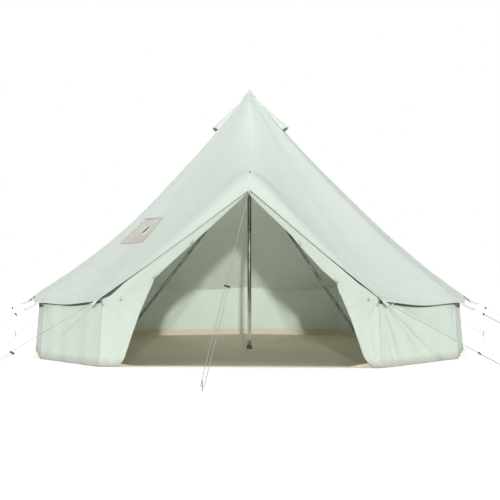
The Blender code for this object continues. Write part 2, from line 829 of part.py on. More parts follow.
def guy_line(number, start, peg_spot, slider_place):
    level = Vector((peg_spot.x - start.x, peg_spot.y - start.y, 0.0)).normalized()
    rope_radius = rope_diameter / 2
    middle = Vector((peg_spot.x, peg_spot.y, loop_height))
    line = (middle - start).normalized()
    reach = loop_radius * math.hypot(line.x, line.y)
    middle -= level * (reach - peg_radius - rope_radius - loop_gap)
    line = (middle - start).normalized()
    side = level.cross(Vector((0.0, 0.0, 1.0))).normalized()
    upright = side.cross(line).normalized()
    tilt = math.radians(loop_tilt)
    spread = side * math.cos(tilt) + upright * math.sin(tilt)
    spread = (spread - line * spread.dot(line)).normalized()
    strand_end = middle + spread * loop_radius
    line = (strand_end - start).normalized()
    spread = (spread - line * spread.dot(line)).normalized()
    middle = strand_end - spread * loop_radius
    length = (strand_end - start).length
    slider_on = start + line * length * slider_place
    back_end = slider_on - spread * 2 * loop_radius - line * slider_thickness
    path = [start.lerp(strand_end, k / rope_points) for k in range(rope_points)]
    for k in range(loop_steps + 1):
        turn = math.pi * k / loop_steps
        path.append(middle + spread * loop_radius * math.cos(turn) + line * loop_radius * math.sin(turn))
    returned = path[-1]
    path += [returned.lerp(back_end, (k + 1) / 3) for k in range(3)]
    rope_like(f"guy_rope_{number:02d}", path, rope_radius, guy_rope)
    slider = bpy.data.objects.new(f"guy_slider_{number:02d}", shared_slider)
    turn = Matrix((spread, line.cross(spread), line)).transposed().to_4x4()
    slider_centre = slider_on - spread * loop_radius
    slider.matrix_local = Matrix.Translation(slider_centre) @ turn
    slider.parent = tent
    bpy.context.collection.objects.link(slider)
    peg = rope_like(f"guy_peg_{number:02d}", peg_mesh(), peg_radius, peg_steel)
    peg.matrix_local = Matrix.Translation(peg_spot) @ Matrix.Rotation(math.atan2(level.y, level.x), 4, "Z")
    total = sum((after - here).length for here, after in zip(path, path[1:]))
    centre = slider_centre + Vector((0.0, tent_shift, 0.0))
    print(number, "slider", [round(v, 4) for v in centre], "axis", [round(v, 5) for v in line], round(total, 3))


def all_guy_lines():
    under = Vector((0.0, 0.0, roof_lay / 2))
    front = Vector((front_peg[0], front_peg[1], 0.0))
    start = ridge_line(1.0) - under + heading(0.0) * rope_start_gap
    guy_line(1, start, front, front_slider_place)
    for number, angle in enumerate(corner_angles, start=2):
        start = corner_line(angle, 1.0) - under + heading(angle) * rope_start_gap
        reach = back_reach if abs(angle - 180) < panel_angle * 1.5 else side_reach
        peg_spot = heading(angle) * (eave_radius + reach)
        place = side_slider_place
        if angle == door_right_angle:
            peg_spot = Vector((door_peg_right[0], door_peg_right[1], 0.0))
            place = door_slider_place
        if angle == 360 - door_left_angle:
            peg_spot = Vector((door_peg_left[0], door_peg_left[1], 0.0))
            place = door_slider_place
        guy_line(number, start, peg_spot, place)


all_guy_lines()
print("tent shift", round(tent_shift, 5))
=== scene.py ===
import math

import bmesh
import bpy
from mathutils.bvhtree import BVHTree
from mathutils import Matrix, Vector, noise


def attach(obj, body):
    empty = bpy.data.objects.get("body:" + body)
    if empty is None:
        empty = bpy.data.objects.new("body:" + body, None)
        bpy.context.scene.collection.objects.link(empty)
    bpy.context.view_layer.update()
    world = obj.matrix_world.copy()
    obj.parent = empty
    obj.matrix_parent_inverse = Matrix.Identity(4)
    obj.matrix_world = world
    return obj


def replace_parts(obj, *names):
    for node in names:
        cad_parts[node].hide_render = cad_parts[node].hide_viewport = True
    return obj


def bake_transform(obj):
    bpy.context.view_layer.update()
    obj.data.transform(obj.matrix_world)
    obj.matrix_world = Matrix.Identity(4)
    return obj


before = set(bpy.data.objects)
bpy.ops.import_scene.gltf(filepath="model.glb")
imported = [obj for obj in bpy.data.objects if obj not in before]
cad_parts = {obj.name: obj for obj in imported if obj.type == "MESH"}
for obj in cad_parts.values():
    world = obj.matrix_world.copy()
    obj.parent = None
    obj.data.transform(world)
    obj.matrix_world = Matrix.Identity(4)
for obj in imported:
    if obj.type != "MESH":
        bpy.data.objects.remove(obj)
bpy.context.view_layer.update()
print("frame:", len(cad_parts), "nodes")

# Metres, +Z up. The doorway faces -Y, and angles turn from -Y towards +X.

tent = {
    "apex": 3.06, "eave": 0.60, "eaveRadius": 2.58, "topSlope": 0.82, "curve": 2.5,
    "panelAngle": 29.6, "sidePanels": 4, "doorRight": 30.6, "doorLeft": 36.0,
    "cornerLift": 0.05, "liftPower": 8, "ring": 0.035,
    "slope": 1.38,    # metres of cloth to a metre of drop
    "crownReach": 2.00, "crownHeight": 1.925, "crownShare": 0.93, "browReach": 2.15, "browHeight": 1.745,
    "ridgeSag": 0.03, "browPower": 1.3, "crownBend": 0.028, "wallTop": 2.48, "wallFoot": 2.53,
    "lay": 0.0035, "gap": 0.0003,
    # the left side hangs slacker and the right side fuller than the plain cone
    "leftSlack": 0.032, "slackRise": 0.09, "slackFade": (0.80, 0.97), "slackAngle": 264.0,
    "slackSpread": 28.0,
    "leftDip": 0.038, "leftDipShare": 0.66, "leftDipReach": 0.17, "dipFade": (0.85, 0.98),
    "rightFill": 0.034, "rightShare": 0.52, "rightReach": 0.22,
}
roofDrop = tent["apex"] - tent["eave"]
flare = (tent["eaveRadius"] - tent["topSlope"] * roofDrop) / roofDrop ** tent["curve"]
panelAngle = tent["panelAngle"]
cornerAngles = [tent["doorRight"]]
cornerAngles += [180 - panelAngle * k for k in range(tent["sidePanels"], 0, -1)]
cornerAngles += [180 + panelAngle * k for k in range(tent["sidePanels"] + 1)]
cornerAngles += [360 - tent["doorLeft"]]
seamAngles = [0.0] + cornerAngles + [360.0]
panels = len(seamAngles) - 1
ridgePanels = (0, panels - 1)
doorCorners = (1, panels - 1)
frontSeams = (0, 1, panels - 1, panels)
sideCorner = 3
backCorner = seamAngles.index(180.0)
leftSideCorner = panels - sideCorner
shift = (tent["eaveRadius"] * math.cos(math.radians(tent["doorRight"])) - tent["eaveRadius"]) / 2
middle = Vector((0.0, shift, 0.0))       # foot of the centre pole
up = Vector((0.0, 0.0, 1.0))


def heading(angle):
    turn = math.radians(angle)
    return Vector((math.sin(turn), -math.cos(turn), 0.0))


def sideways(angle):
    turn = math.radians(angle)
    return Vector((math.cos(turn), math.sin(turn), 0.0))


def roofRadius(drop):
    return tent["topSlope"] * drop + flare * drop ** tent["curve"]


# Rises from 0 at low to 1 at high, also where high is the smaller
def smoothStep(low, high, value):
    part = min(1.0, max(0.0, (value - low) / (high - low)))
    return part * part * (3 - 2 * part)


# 1 at the centre, falling away on both sides
def bell(value, centre, width):
    return math.exp(-((value - centre) / width) ** 2)


# A place on the curve from first to last that bends towards the knee
def bentLine(first, knee, last, part):
    return first * (1 - part) ** 2 + knee * 2 * part * (1 - part) + last * part ** 2


def upward(vector):
    return vector if vector.z > 0 else -vector


def turned(first, second, turn):
    return first * math.cos(turn) + second * math.sin(turn)


def shareAtRadius(radius):
    low, high = 0.0, 1.0
    for _ in range(50):
        half = (low + high) / 2
        low, high = (half, high) if roofRadius(half * roofDrop) < radius else (low, half)
    return (low + high) / 2


def leftSlack(share):
    slack = tent["leftSlack"] * min(1.0, share / tent["slackRise"])
    slack *= 1 - smoothStep(*tent["slackFade"], share)
    dip = tent["leftDip"] * bell(share, tent["leftDipShare"], tent["leftDipReach"])
    return slack + dip * (1 - smoothStep(*tent["dipFade"], share))


def ridgeAt(share):
    if share <= tent["crownShare"]:
        part = share / tent["crownShare"]
        height = tent["apex"] - (tent["apex"] - tent["crownHeight"]) * part
        height -= tent["ridgeSag"] * math.sin(math.pi * part)
        return middle + Vector((0.0, -tent["crownReach"] * part, height))
    part = (share - tent["crownShare"]) / (1 - tent["crownShare"])
    height = tent["crownHeight"] - (tent["crownHeight"] - tent["browHeight"]) * part ** tent["browPower"]
    reach = tent["crownReach"] + (tent["browReach"] - tent["crownReach"]) * part
    return middle + Vector((0.0, -reach, height))


def seamLine(index, share):
    angle = seamAngles[index]
    if angle in (0.0, 360.0):
        away = (share - tent["crownShare"]) / tent["crownBend"]
        if abs(away) < 1:
            first = ridgeAt(tent["crownShare"] - tent["crownBend"])
            last = ridgeAt(tent["crownShare"] + tent["crownBend"])
            part = (away + 1) / 2
            return bentLine(first, ridgeAt(tent["crownShare"]), last, part)
        return ridgeAt(share)
    radius = roofRadius(share * roofDrop)
    radius -= leftSlack(share) * bell(angle, tent["slackAngle"], tent["slackSpread"])
    if angle < 180:
        fill = bell(share, tent["rightShare"], tent["rightReach"]) * (1 - smoothStep(0.9, 1.0, share))
        radius += tent["rightFill"] * fill * math.sin(math.radians(angle)) ** 4
    point = middle + heading(angle) * radius
    point.z = tent["apex"] - share * roofDrop
    if index in doorCorners:
        point.z += tent["cornerLift"] * share ** tent["liftPower"]
    return point


def flatRoof(panel, across, share):
    return seamLine(panel, share).lerp(seamLine(panel + 1, share), across)


# Length of cloth from a place on the roof down to its hem
def hemDistance(share):
    return (1 - share) * roofDrop * tent["slope"]


wallShare = shareAtRadius(tent["wallTop"])
firstShare = tent["ring"] / (tent["topSlope"] * roofDrop)

# Node helpers and the groups that several finishes share


# Each input takes a link from a socket, or a plain value
def feed(tree, node, inputs):
    for name, value in inputs.items():
        if isinstance(value, bpy.types.NodeSocket):
            tree.links.new(value, node.inputs[name])
        else:
            node.inputs[name].default_value = value


def addNode(tree, kind, inputs=None, **options):
    made = tree.nodes.new("ShaderNode" + kind)
    for name, value in options.items():
        setattr(made, name, value)
    feed(tree, made, inputs or {})
    return made


def maths(tree, operation, first, second=0.0):
    return addNode(tree, "Math", {0: first, 1: second}, operation=operation).outputs[0]


def plus(tree, first, second):
    return maths(tree, "ADD", first, second)


def times(tree, first, second):
    return maths(tree, "MULTIPLY", first, second)


def spread(tree, value, low, high, toLow=0.0, toHigh=1.0):
    inputs = {"Value": value, "From Min": low, "From Max": high, "To Min": toLow, "To Max": toHigh}
    return addNode(tree, "MapRange", inputs, interpolation_type="SMOOTHSTEP").outputs[0]


def blendColours(tree, share, first, second):
    return addNode(tree, "Mix", {0: share, 6: first, 7: second}, data_type="RGBA").outputs[2]


def noiseValue(tree, vector, scale, detail=3.0, roughness=0.55):
    inputs = {"Vector": vector, "Scale": scale, "Detail": detail, "Roughness": roughness}
    return addNode(tree, "TexNoise", inputs).outputs[0]


def objectPlace(tree):
    return addNode(tree, "TexCoord").outputs["Object"]


# The piece's own map, flat as the cloth was cut, and its two parts
def clothMap(tree):
    flat = addNode(tree, "UVMap", uv_map="cloth").outputs[0]
    return flat, addNode(tree, "SeparateXYZ", {0: flat}).outputs


def bumpFrom(tree, height, strength, distance):
    return addNode(tree, "Bump", {"Height": height, "Strength": strength, "Distance": distance}).outputs[0]


def newGroup(name, inputs, outputs):
    group = bpy.data.node_groups.new(name, "ShaderNodeTree")
    for socketName, kind, value in inputs:
        socket = group.interface.new_socket(name=socketName, in_out="INPUT", socket_type="NodeSocket" + kind)
        if value is not None:
            socket.default_value = value
    for socketName, kind in outputs:
        group.interface.new_socket(name=socketName, in_out="OUTPUT", socket_type="NodeSocket" + kind)
    return group, group.nodes.new("NodeGroupInput").outputs, group.nodes.new("NodeGroupOutput")


def weaveGroup():
    group, given, result = newGroup(
        "plainWeave",
        [("Place", "Vector", None), ("Threads", "Float", 900.0)],
        [("Height", "Float"), ("Fleck", "Float")],
    )
    inputs = {0: given["Place"], 3: given["Threads"]}
    scaled = addNode(group, "VectorMath", inputs, operation="SCALE").outputs[0]
    parts = addNode(group, "SeparateXYZ", {0: scaled}).outputs
    warp = maths(group, "SINE", times(group, parts[0], math.pi))
    weft = maths(group, "SINE", times(group, parts[1], math.pi))
    crossed = times(group, warp, weft)
    slub = noiseValue(group, scaled, 0.35, 2.0)
    feed(group, result, {"Height": plus(group, times(group, crossed, 0.5), slub), "Fleck": slub})
    return group


def mottleGroup():
    group, given, result = newGroup(
        "clothMottle",
        [("Color", "Color", (0.6, 0.7, 0.6, 1.0)), ("Stain", "Color", (0.4, 0.4, 0.3, 1.0)),
         ("Amount", "Float", 0.2), ("Size", "Float", 1.0)],
        [("Color", "Color")],
    )
    place = objectPlace(group)
    cloud = noiseValue(group, place, given["Size"], 4.0)
    fine = noiseValue(group, place, times(group, given["Size"], 9.0))
    both = plus(group, times(group, cloud, 0.75), times(group, fine, 0.25))
    share = times(group, spread(group, both, 0.42, 0.72), given["Amount"])
    feed(group, result, {"Color": blendColours(group, share, given["Color"], given["Stain"])})
    return group


def splashGroup():
    group, given, result = newGroup(
        "groundSplash",
        [("Color", "Color", (0.6, 0.7, 0.6, 1.0)), ("Soil", "Color", (0.3, 0.25, 0.16, 1.0)),
         ("Reach", "Float", 0.12), ("Amount", "Float", 0.5)],
        [("Color", "Color")],
    )
    place = objectPlace(group)
    height = addNode(group, "SeparateXYZ", {0: place}).outputs[2]
    specks = noiseValue(group, place, 14.0, 5.0, 0.7)
    edge = times(group, given["Reach"], plus(group, specks, 0.4))
    near = maths(group, "SUBTRACT", 1.0, maths(group, "DIVIDE", height, edge))
    mask = times(group, maths(group, "MAXIMUM", near, 0.0), given["Amount"])
    feed(group, result, {"Color": blendColours(group, mask, given["Color"], given["Soil"])})
    return group


# Across is the distance from the seam or edge, and Along runs beside it
def stitchGroup():
    group, given, result = newGroup(
        "stitchRow",
        [("Across", "Float", 0.0), ("Along", "Float", 0.0), ("Row", "Float", 0.008),
         ("Pitch", "Float", 0.006)],
        [("Mask", "Float"), ("Height", "Float")],
    )
    away = maths(group, "ABSOLUTE", maths(group, "SUBTRACT", given["Across"], given["Row"]))
    line = spread(group, away, 0.0006, 0.0016, 1.0, 0.0)
    turn = maths(group, "DIVIDE", times(group, given["Along"], 2 * math.pi), given["Pitch"])
    mask = times(group, line, spread(group, maths(group, "SINE", turn), -0.5, 0.1))
    dent = spread(group, away, 0.001, 0.004, -1.0, 0.0)
    feed(group, result, {"Mask": mask, "Height": plus(group, times(group, mask, 1.4), dent)})
    return group


def wearGroup():
    group, given, result = newGroup(
        "metalWear",
        [("Color", "Color", (0.5, 0.5, 0.5, 1.0)), ("Dull", "Color", (0.3, 0.3, 0.3, 1.0)),
         ("Size", "Float", 30.0), ("Rough Low", "Float", 0.25), ("Rough High", "Float", 0.5)],
        [("Color", "Color"), ("Roughness", "Float"), ("Height", "Float")],
    )
    stretched = addNode(group, "Mapping", {0: objectPlace(group), 3: (1.0, 1.0, 0.25)}).outputs[0]
    cloud = noiseValue(group, stretched, given["Size"], 5.0, 0.6)
    mask = spread(group, cloud, 0.38, 0.68)
    inputs = {"Value": mask, "To Min": given["Rough Low"], "To Max": given["Rough High"]}
    rough = addNode(group, "MapRange", inputs).outputs[0]
    shade = blendColours(group, mask, given["Color"], given["Dull"])
    feed(group, result, {"Color": shade, "Roughness": rough, "Height": cloud})
    return group


groups = {
    "weave": weaveGroup(), "mottle": mottleGroup(), "splash": splashGroup(),
    "stitch": stitchGroup(), "wear": wearGroup(),
}


def useGroup(tree, name, inputs):
    return addNode(tree, "Group", inputs, node_tree=groups[name]).outputs


def newFinish(name, roughness, metallic=0.0, specular=0.5):
    material = bpy.data.materials.new(name)
    material.use_nodes = True
    tree = material.node_tree
    shader = tree.nodes["Principled BSDF"]
    feed(tree, shader, {"Roughness": roughness, "Metallic": metallic, "Specular IOR Level": specular})
    return material, tree, shader


# stitches are (edge, row, pitch), where edge 0 is the seam beside a panel and 1 its hem
def clothFinish(name, colour, stain, amount, threads=900.0, splash=None, stitches=(), grain=0.0004,
                wrinkle=0.0012, roughness=0.88):
    material, tree, shader = newFinish(name, roughness, specular=0.25)
    flat, spots = clothMap(tree)
    weave = useGroup(tree, "weave", {"Place": flat, "Threads": threads})
    inputs = {"Color": (*colour, 1.0), "Stain": (*stain, 1.0), "Amount": amount, "Size": 1.1}
    shade = useGroup(tree, "mottle", inputs)[0]
    if splash:
        inputs = {"Color": shade, "Soil": (0.30, 0.26, 0.17, 1.0), "Reach": splash, "Amount": 0.55}
        shade = useGroup(tree, "splash", inputs)[0]
    fleck = spread(tree, weave["Fleck"], 0.2, 0.8, 0.0, 0.10)
    shade = blendColours(tree, fleck, shade, (0.93, 0.94, 0.90, 1.0))
    ripple = noiseValue(tree, objectPlace(tree), 16.0, 4.0, 0.6)
    height = plus(tree, times(tree, weave["Height"], grain), times(tree, ripple, wrinkle))
    for edge, row, pitch in stitches:
        inputs = {"Across": spots[edge], "Along": spots[1 - edge], "Row": row, "Pitch": pitch}
        thread = useGroup(tree, "stitch", inputs)
        shade = blendColours(tree, times(tree, thread["Mask"], 0.55), shade, (0.80, 0.83, 0.76, 1.0))
        height = plus(tree, height, times(tree, thread["Height"], 0.0006))
    feed(tree, shader, {"Base Color": shade, "Normal": bumpFrom(tree, height, 0.8, 1.0)})
    return material


def metalFinish(name, colour, dull, low, high, size, splash=None):
    material, tree, shader = newFinish(name, low, 1.0)
    inputs = {"Color": (*colour, 1.0), "Dull": (*dull, 1.0), "Size": size}
    wear = useGroup(tree, "wear", inputs | {"Rough Low": low, "Rough High": high})
    shade = wear["Color"]
    if splash:
        shade = useGroup(tree, "splash", {"Color": shade, "Reach": splash, "Amount": 0.7})[0]
    bump = bumpFrom(tree, wear["Height"], 0.15, 0.001)
    feed(tree, shader, {"Base Color": shade, "Roughness": wear["Roughness"], "Normal": bump})
    return material


def mouldedFinish(name, colour, worn, roughness):
    material, tree, shader = newFinish(name, roughness)
    inputs = {"Color": (*colour, 1.0), "Stain": (*worn, 1.0), "Amount": 0.6, "Size": 60.0}
    shade = useGroup(tree, "mottle", inputs)[0]
    grain = noiseValue(tree, objectPlace(tree), 900.0, 2.0)
    rough = spread(tree, grain, 0.2, 0.8, roughness - 0.08, roughness + 0.12)
    bump = bumpFrom(tree, grain, 0.25, 0.0004)
    feed(tree, shader, {"Base Color": shade, "Roughness": rough, "Normal": bump})
    return material


# Laid rope of three strands: its map runs round the rope and along it, both in metres
def ropeFinish(name, colour, dark):
    material, tree, shader = newFinish(name, 0.8, specular=0.3)
    spots = clothMap(tree)[1]
    turn = plus(tree, times(tree, spots[0], 3 * 2 * math.pi / ropes["girth"]),
                times(tree, spots[1], 2 * math.pi / ropes["layPitch"]))
    groove = spread(tree, maths(tree, "ABSOLUTE", maths(tree, "SINE", turn)), 0.0, 0.55)
    shade = blendColours(tree, groove, (*dark, 1.0), (*colour, 1.0))
    shade = useGroup(tree, "splash", {"Color": shade, "Reach": 0.08, "Amount": 0.5})[0]
    feed(tree, shader, {"Base Color": shade, "Normal": bumpFrom(tree, groove, 0.9, 0.0008)})
    return material


ropes = {
    "radius": 0.0025, "girth": 2 * math.pi * 0.0025, "layPitch": 0.014, "points": 6, "spacing": 0.06,
    "loopRadius": 0.016, "loopSteps": 8, "loopHeight": 0.045, "loopTilt": 22.0, "loopGap": 0.0006,
    "startGap": 0.0018, "pegRadius": 0.005, "sliderThickness": 0.010,
    "sideReach": 1.12, "backReach": 0.85, "sidePlace": 0.20,
}

canvasStitches = ((0, 0.0035, 0.005), (0, 0.0085, 0.005), (1, 0.006, 0.005), (1, 0.034, 0.005))
panelStitches = ((1, 0.008, 0.006), (1, 0.020, 0.006))
finishes = {
    "roof_canvas": clothFinish("roofCanvasCloth", (0.695, 0.775, 0.700), (0.645, 0.725, 0.640), 0.45,
                               stitches=canvasStitches),
    "wall_canvas": clothFinish("wallCanvasCloth", (0.685, 0.765, 0.685), (0.63, 0.71, 0.61), 0.4, splash=0.10,
                               stitches=canvasStitches),
    "trim_canvas": clothFinish("trimWebbing", (0.72, 0.79, 0.71), (0.66, 0.72, 0.63), 0.35, threads=500.0,
                               grain=0.0006, wrinkle=0.0006),
    "heat_panel": clothFinish("heatPanelCloth", (0.64, 0.62, 0.575), (0.54, 0.465, 0.43), 0.7, threads=420.0,
                              stitches=panelStitches, grain=0.0006, wrinkle=0.001, roughness=0.7),
    "groundsheet": clothFinish("groundsheetCloth", (0.70, 0.62, 0.47), (0.60, 0.52, 0.37), 0.5, threads=260.0,
                               grain=0.0008, wrinkle=0.002, roughness=0.6),
    # Near-black cloth for painted shade: the strips under the eave, along the door hems and in the ridge dart
    "painted_shade_tape": clothFinish("paintedShadeTape", (0.085, 0.105, 0.08), (0.05, 0.06, 0.045), 0.5, threads=700.0,
                             wrinkle=0.0003),
    "net": clothFinish("ventNet", (0.05, 0.055, 0.05), (0.02, 0.02, 0.02), 0.5, threads=300.0,
                       grain=0.0012, wrinkle=0.0, roughness=0.8),
    # The pole's steel in two tones: the upper tube and spike darker as painted shade, the lower tube lighter
    # as painted light
    "pole_steel": metalFinish("shadedPoleSteel", (0.25, 0.258, 0.222), (0.15, 0.152, 0.126), 0.22, 0.40, 26.0),
    "sunlit_pole_steel": metalFinish("sunlitPoleSteel", (0.60, 0.585, 0.53), (0.34, 0.31, 0.25), 0.12, 0.25, 26.0),
    # The A-frame legs and crown in a near-black copy of the pole's steel: painted shade
    "frame_steel": metalFinish("shadedFrameSteel", (0.10, 0.115, 0.10), (0.055, 0.06, 0.055), 0.35, 0.55, 30.0),
    "peg_steel": metalFinish("pegSteel", (0.48, 0.47, 0.45), (0.26, 0.22, 0.18), 0.3, 0.6, 60.0, splash=0.05),
    "ring_steel": metalFinish("ringSteel", (0.55, 0.55, 0.52), (0.35, 0.33, 0.30), 0.25, 0.5, 90.0),
    "dark_plastic": mouldedFinish("mouldedFoot", (0.035, 0.035, 0.034), (0.10, 0.10, 0.09), 0.5),
    "slider": mouldedFinish("sliderPlastic", (0.045, 0.038, 0.034), (0.12, 0.10, 0.08), 0.45),
    "toggle": mouldedFinish("togglePlastic", (0.11, 0.12, 0.10), (0.22, 0.22, 0.19), 0.4),
    "guy_rope": ropeFinish("laidGuyRope", (0.53, 0.53, 0.49), (0.26, 0.26, 0.24)),
}
print("finishes:", len(finishes))

# Camera, floor and light

view = {"place": (0.0, -12.68, 1.075), "lens": 76.32, "shiftX": 0.0012, "shiftY": 0.016}


def buildCamera():
    lens = bpy.data.cameras.new("photoCamera")
    lens.sensor_width, lens.lens = 36.0, view["lens"]
    lens.shift_x, lens.shift_y = view["shiftX"], view["shiftY"]
    lens.clip_end = 300.0
    camera = bpy.data.objects.new("photoCamera", lens)
    camera.location = view["place"]
    camera.rotation_euler = (math.radians(90), 0.0, 0.0)
    bpy.context.scene.collection.objects.link(camera)
    bpy.context.scene.camera = camera


studio = {
    "sky": 0.30, "floorColour": (0.80, 0.80, 0.79, 1.0), "floorSize": 60.0,
    "floorNear": 0.50, "floorFar": 0.72, "floorFade": (3.5, 12.0),
}
# Each lamp's kind, place, aim, size and power
lamps = {
    "frontLamp": ("SUN", (0.72, -16.6, 3.5), (0.0, -0.6, 1.38), 0.030, 1.85),
    "topLamp": ("AREA", (0.0, -4.5, 15.0), (0.0, 0.0, 1.0), 6.0, 560.0),
    "leftLamp": ("AREA", (-13.0, -3.0, 5.0), (0.0, 0.0, 1.0), 5.0, 270.0),
    "rightLamp": ("AREA", (13.0, -3.0, 5.0), (0.0, 0.0, 1.0), 5.0, 270.0),
    "backLamp": ("AREA", (-3.0, 14.0, 7.0), (0.0, 0.0, 1.0), 5.0, 750.0),
    "insideLamp": ("AREA", (0.0, 0.15, 0.10), (0.0, 0.15, 3.0), 2.8, 6.5),
    "tentLamp": ("AREA", (0.0, 0.25, 2.0), (0.0, 0.25, 0.0), 0.6, 4.0),
}


# 1 for what the camera sees, straight or mirrored, and 0 for what only lights the tent
def shownRays(tree):
    rays = addNode(tree, "LightPath").outputs
    mirrored = maths(tree, "MAXIMUM", rays["Is Glossy Ray"], rays["Is Transmission Ray"])
    return maths(tree, "MAXIMUM", rays["Is Camera Ray"], mirrored)


def buildSky(scene):
    scene.view_settings.view_transform = "Standard"
    scene.world = bpy.data.worlds.new("studio")
    scene.world.use_nodes = True
    tree = scene.world.node_tree
    strength = plus(tree, times(tree, shownRays(tree), 1.0 - studio["sky"]), studio["sky"])
    feed(tree, tree.nodes["Background"], {"Color": (1.0, 1.0, 1.0, 1.0), "Strength": strength})


def buildFloor(scene):
    half = studio["floorSize"]
    mesh = bpy.data.meshes.new("floor")
    corners = [(-half, -half, 0), (half, -half, 0), (half, half, 0), (-half, half, 0)]
    mesh.from_pydata(corners, [], [(0, 1, 2, 3)])
    material, tree, shader = newFinish("paleFloor", 0.9, specular=0.0)
    away = addNode(tree, "VectorMath", {0: objectPlace(tree)}, operation="LENGTH").outputs["Value"]
    glow = spread(tree, away, *studio["floorFade"], studio["floorNear"], studio["floorFar"])
    feed(tree, shader, {"Base Color": studio["floorColour"], "Emission Color": (1.0, 1.0, 1.0, 1.0),
                        "Emission Strength": times(tree, shownRays(tree), glow)})
    mesh.materials.append(material)
    floor = bpy.data.objects.new("floor", mesh)
    floor.location.z = -0.001
    scene.collection.objects.link(floor)


def buildLamps(scene):
    for name, (kind, place, aim, size, power) in lamps.items():
        light = bpy.data.lights.new(name, kind)
        light.energy = power
        if kind == "SUN":
            light.angle = size
        else:
            light.shape, light.size = "DISK", size
        source = bpy.data.objects.new(name, light)
        source.location = place
        source.rotation_euler = (Vector(aim) - source.location).to_track_quat("-Z", "Y").to_euler()
        source.visible_camera = False
        scene.collection.objects.link(source)


buildCamera()
buildSky(bpy.context.scene)
buildFloor(bpy.context.scene)
buildLamps(bpy.context.scene)
print("camera and studio ready")

# Piece helpers


# A piece from one or several parts, each of points, faces and flat places
def makePiece(name, finish, parts, body="tent", thick=0.0, sharp=None, facing=None):
    mesh = meshFrom(name, parts, sharp)
    if facing:
        faceOut(mesh, facing == "up")
    mesh.materials.append(finishes[finish])
    piece = bpy.data.objects.new(name, mesh)
    bpy.context.scene.collection.objects.link(piece)
    if thick:
        shell = piece.modifiers.new("thickness", "SOLIDIFY")
        shell.thickness, shell.offset = thick, -1.0
        settle(piece)
    if body:
        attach(piece, body)
    return piece


# Applies the piece's modifiers
def settle(piece):
    bpy.context.view_layer.update()
    graph = bpy.context.evaluated_depsgraph_get()
    made = bpy.data.meshes.new_from_object(piece.evaluated_get(graph), depsgraph=graph)
    old = piece.data
    piece.modifiers.clear()
    piece.data = made
    bpy.data.meshes.remove(old)


def meshFrom(name, parts, sharp):
    points, faces, flat = [], [], []
    for partPoints, partFaces, partFlat in parts:
        base = len(points)
        points += [tuple(point) for point in partPoints]
        flat += partFlat
        faces += [[index + base for index in face] for face in partFaces]
    mesh = bpy.data.meshes.new(name)
    mesh.from_pydata(points, [], faces)
    layer = mesh.uv_layers.new(name="cloth")
    layer.data.foreach_set("uv", [value for loop in mesh.loops for value in flat[loop.vertex_index]])
    mesh.shade_smooth()
    if sharp:
        mesh.set_sharp_from_angle(angle=math.radians(sharp))
    return mesh


# Turns the faces of a closed mesh outwards, or those of an open one upwards
def faceOut(mesh, upwards):
    shape = bmesh.new()
    shape.from_mesh(mesh)
    bmesh.ops.recalc_face_normals(shape, faces=shape.faces)
    if upwards and sum(face.normal.z for face in shape.faces) < 0:
        bmesh.ops.reverse_faces(shape, faces=shape.faces)
    shape.to_mesh(mesh)
    shape.free()


def gridFaces(rows, columns, flip=False):
    faces = []
    for row in range(rows - 1):
        for column in range(columns - 1):
            first = row * columns + column
            face = [first, first + columns, first + columns + 1, first + 1]
            faces.append(face[::-1] if flip else face)
    return faces


# Faces between closed rings of points, from the point numbered base on
def ringFaces(rings, sides, base=0, flip=False):
    faces = []
    for ring in range(rings - 1):
        here = base + ring * sides
        for k in range(sides):
            after = (k + 1) % sides
            face = [here + k, here + after, here + sides + after, here + sides + k]
            faces.append([face[0]] + face[:0:-1] if flip else face)
    return faces


# Faces from the first point to the ring after it
def fanFaces(sides):
    return [[0, 1 + k, 1 + (k + 1) % sides] for k in range(sides)]


def wayAt(path, k):
    return (path[min(len(path) - 1, k + 1)] - path[max(0, k - 1)]).normalized()


def tubePart(path, radius, sides=8, caps=True):
    points, flat = [], []
    way = (path[1] - path[0]).normalized()
    side = way.orthogonal().normalized()
    along = 0.0
    for k, spot in enumerate(path):
        nextWay = wayAt(path, k)
        side = way.rotation_difference(nextWay) @ side
        side = (side - nextWay * side.dot(nextWay)).normalized()
        way = nextWay
        other = way.cross(side)
        if k:
            along += (spot - path[k - 1]).length
        for corner in range(sides):
            turn = 2 * math.pi * corner / sides
            points.append(spot + turned(side, other, turn) * radius)
            flat.append((radius * turn, along))
    faces = ringFaces(len(path), sides)
    if caps:
        faces.append(list(range(sides))[::-1])
        faces.append([(len(path) - 1) * sides + corner for corner in range(sides)])
    return points, faces, flat


# A profile of (radius, height) turned about its axis, where a radius of 0 closes on the axis
def turnedPart(profile, sides, place, turn=None):
    points, rings, flat = [], [], []
    for radius, height in profile:
        count = 1 if radius == 0.0 else sides
        rings.append([len(points) + (k if count > 1 else 0) for k in range(sides)])
        for k in range(count):
            angle = 2 * math.pi * k / sides
            points.append(Vector((radius * math.cos(angle), radius * math.sin(angle), height)))
            flat.append((max(radius, 0.001) * angle, height))
    faces = []
    pairs = list(zip(rings, rings[1:]))
    if profile[0][0] and profile[-1][0]:
        pairs.append((rings[-1], rings[0]))
    for low, high in pairs:
        for k in range(sides):
            after = (k + 1) % sides
            face = list(dict.fromkeys([low[k], low[after], high[after], high[k]]))
            if len(face) > 2:
                faces.append(face)
    if turn:
        points = [turn @ point for point in points]
    return [point + place for point in points], faces, flat


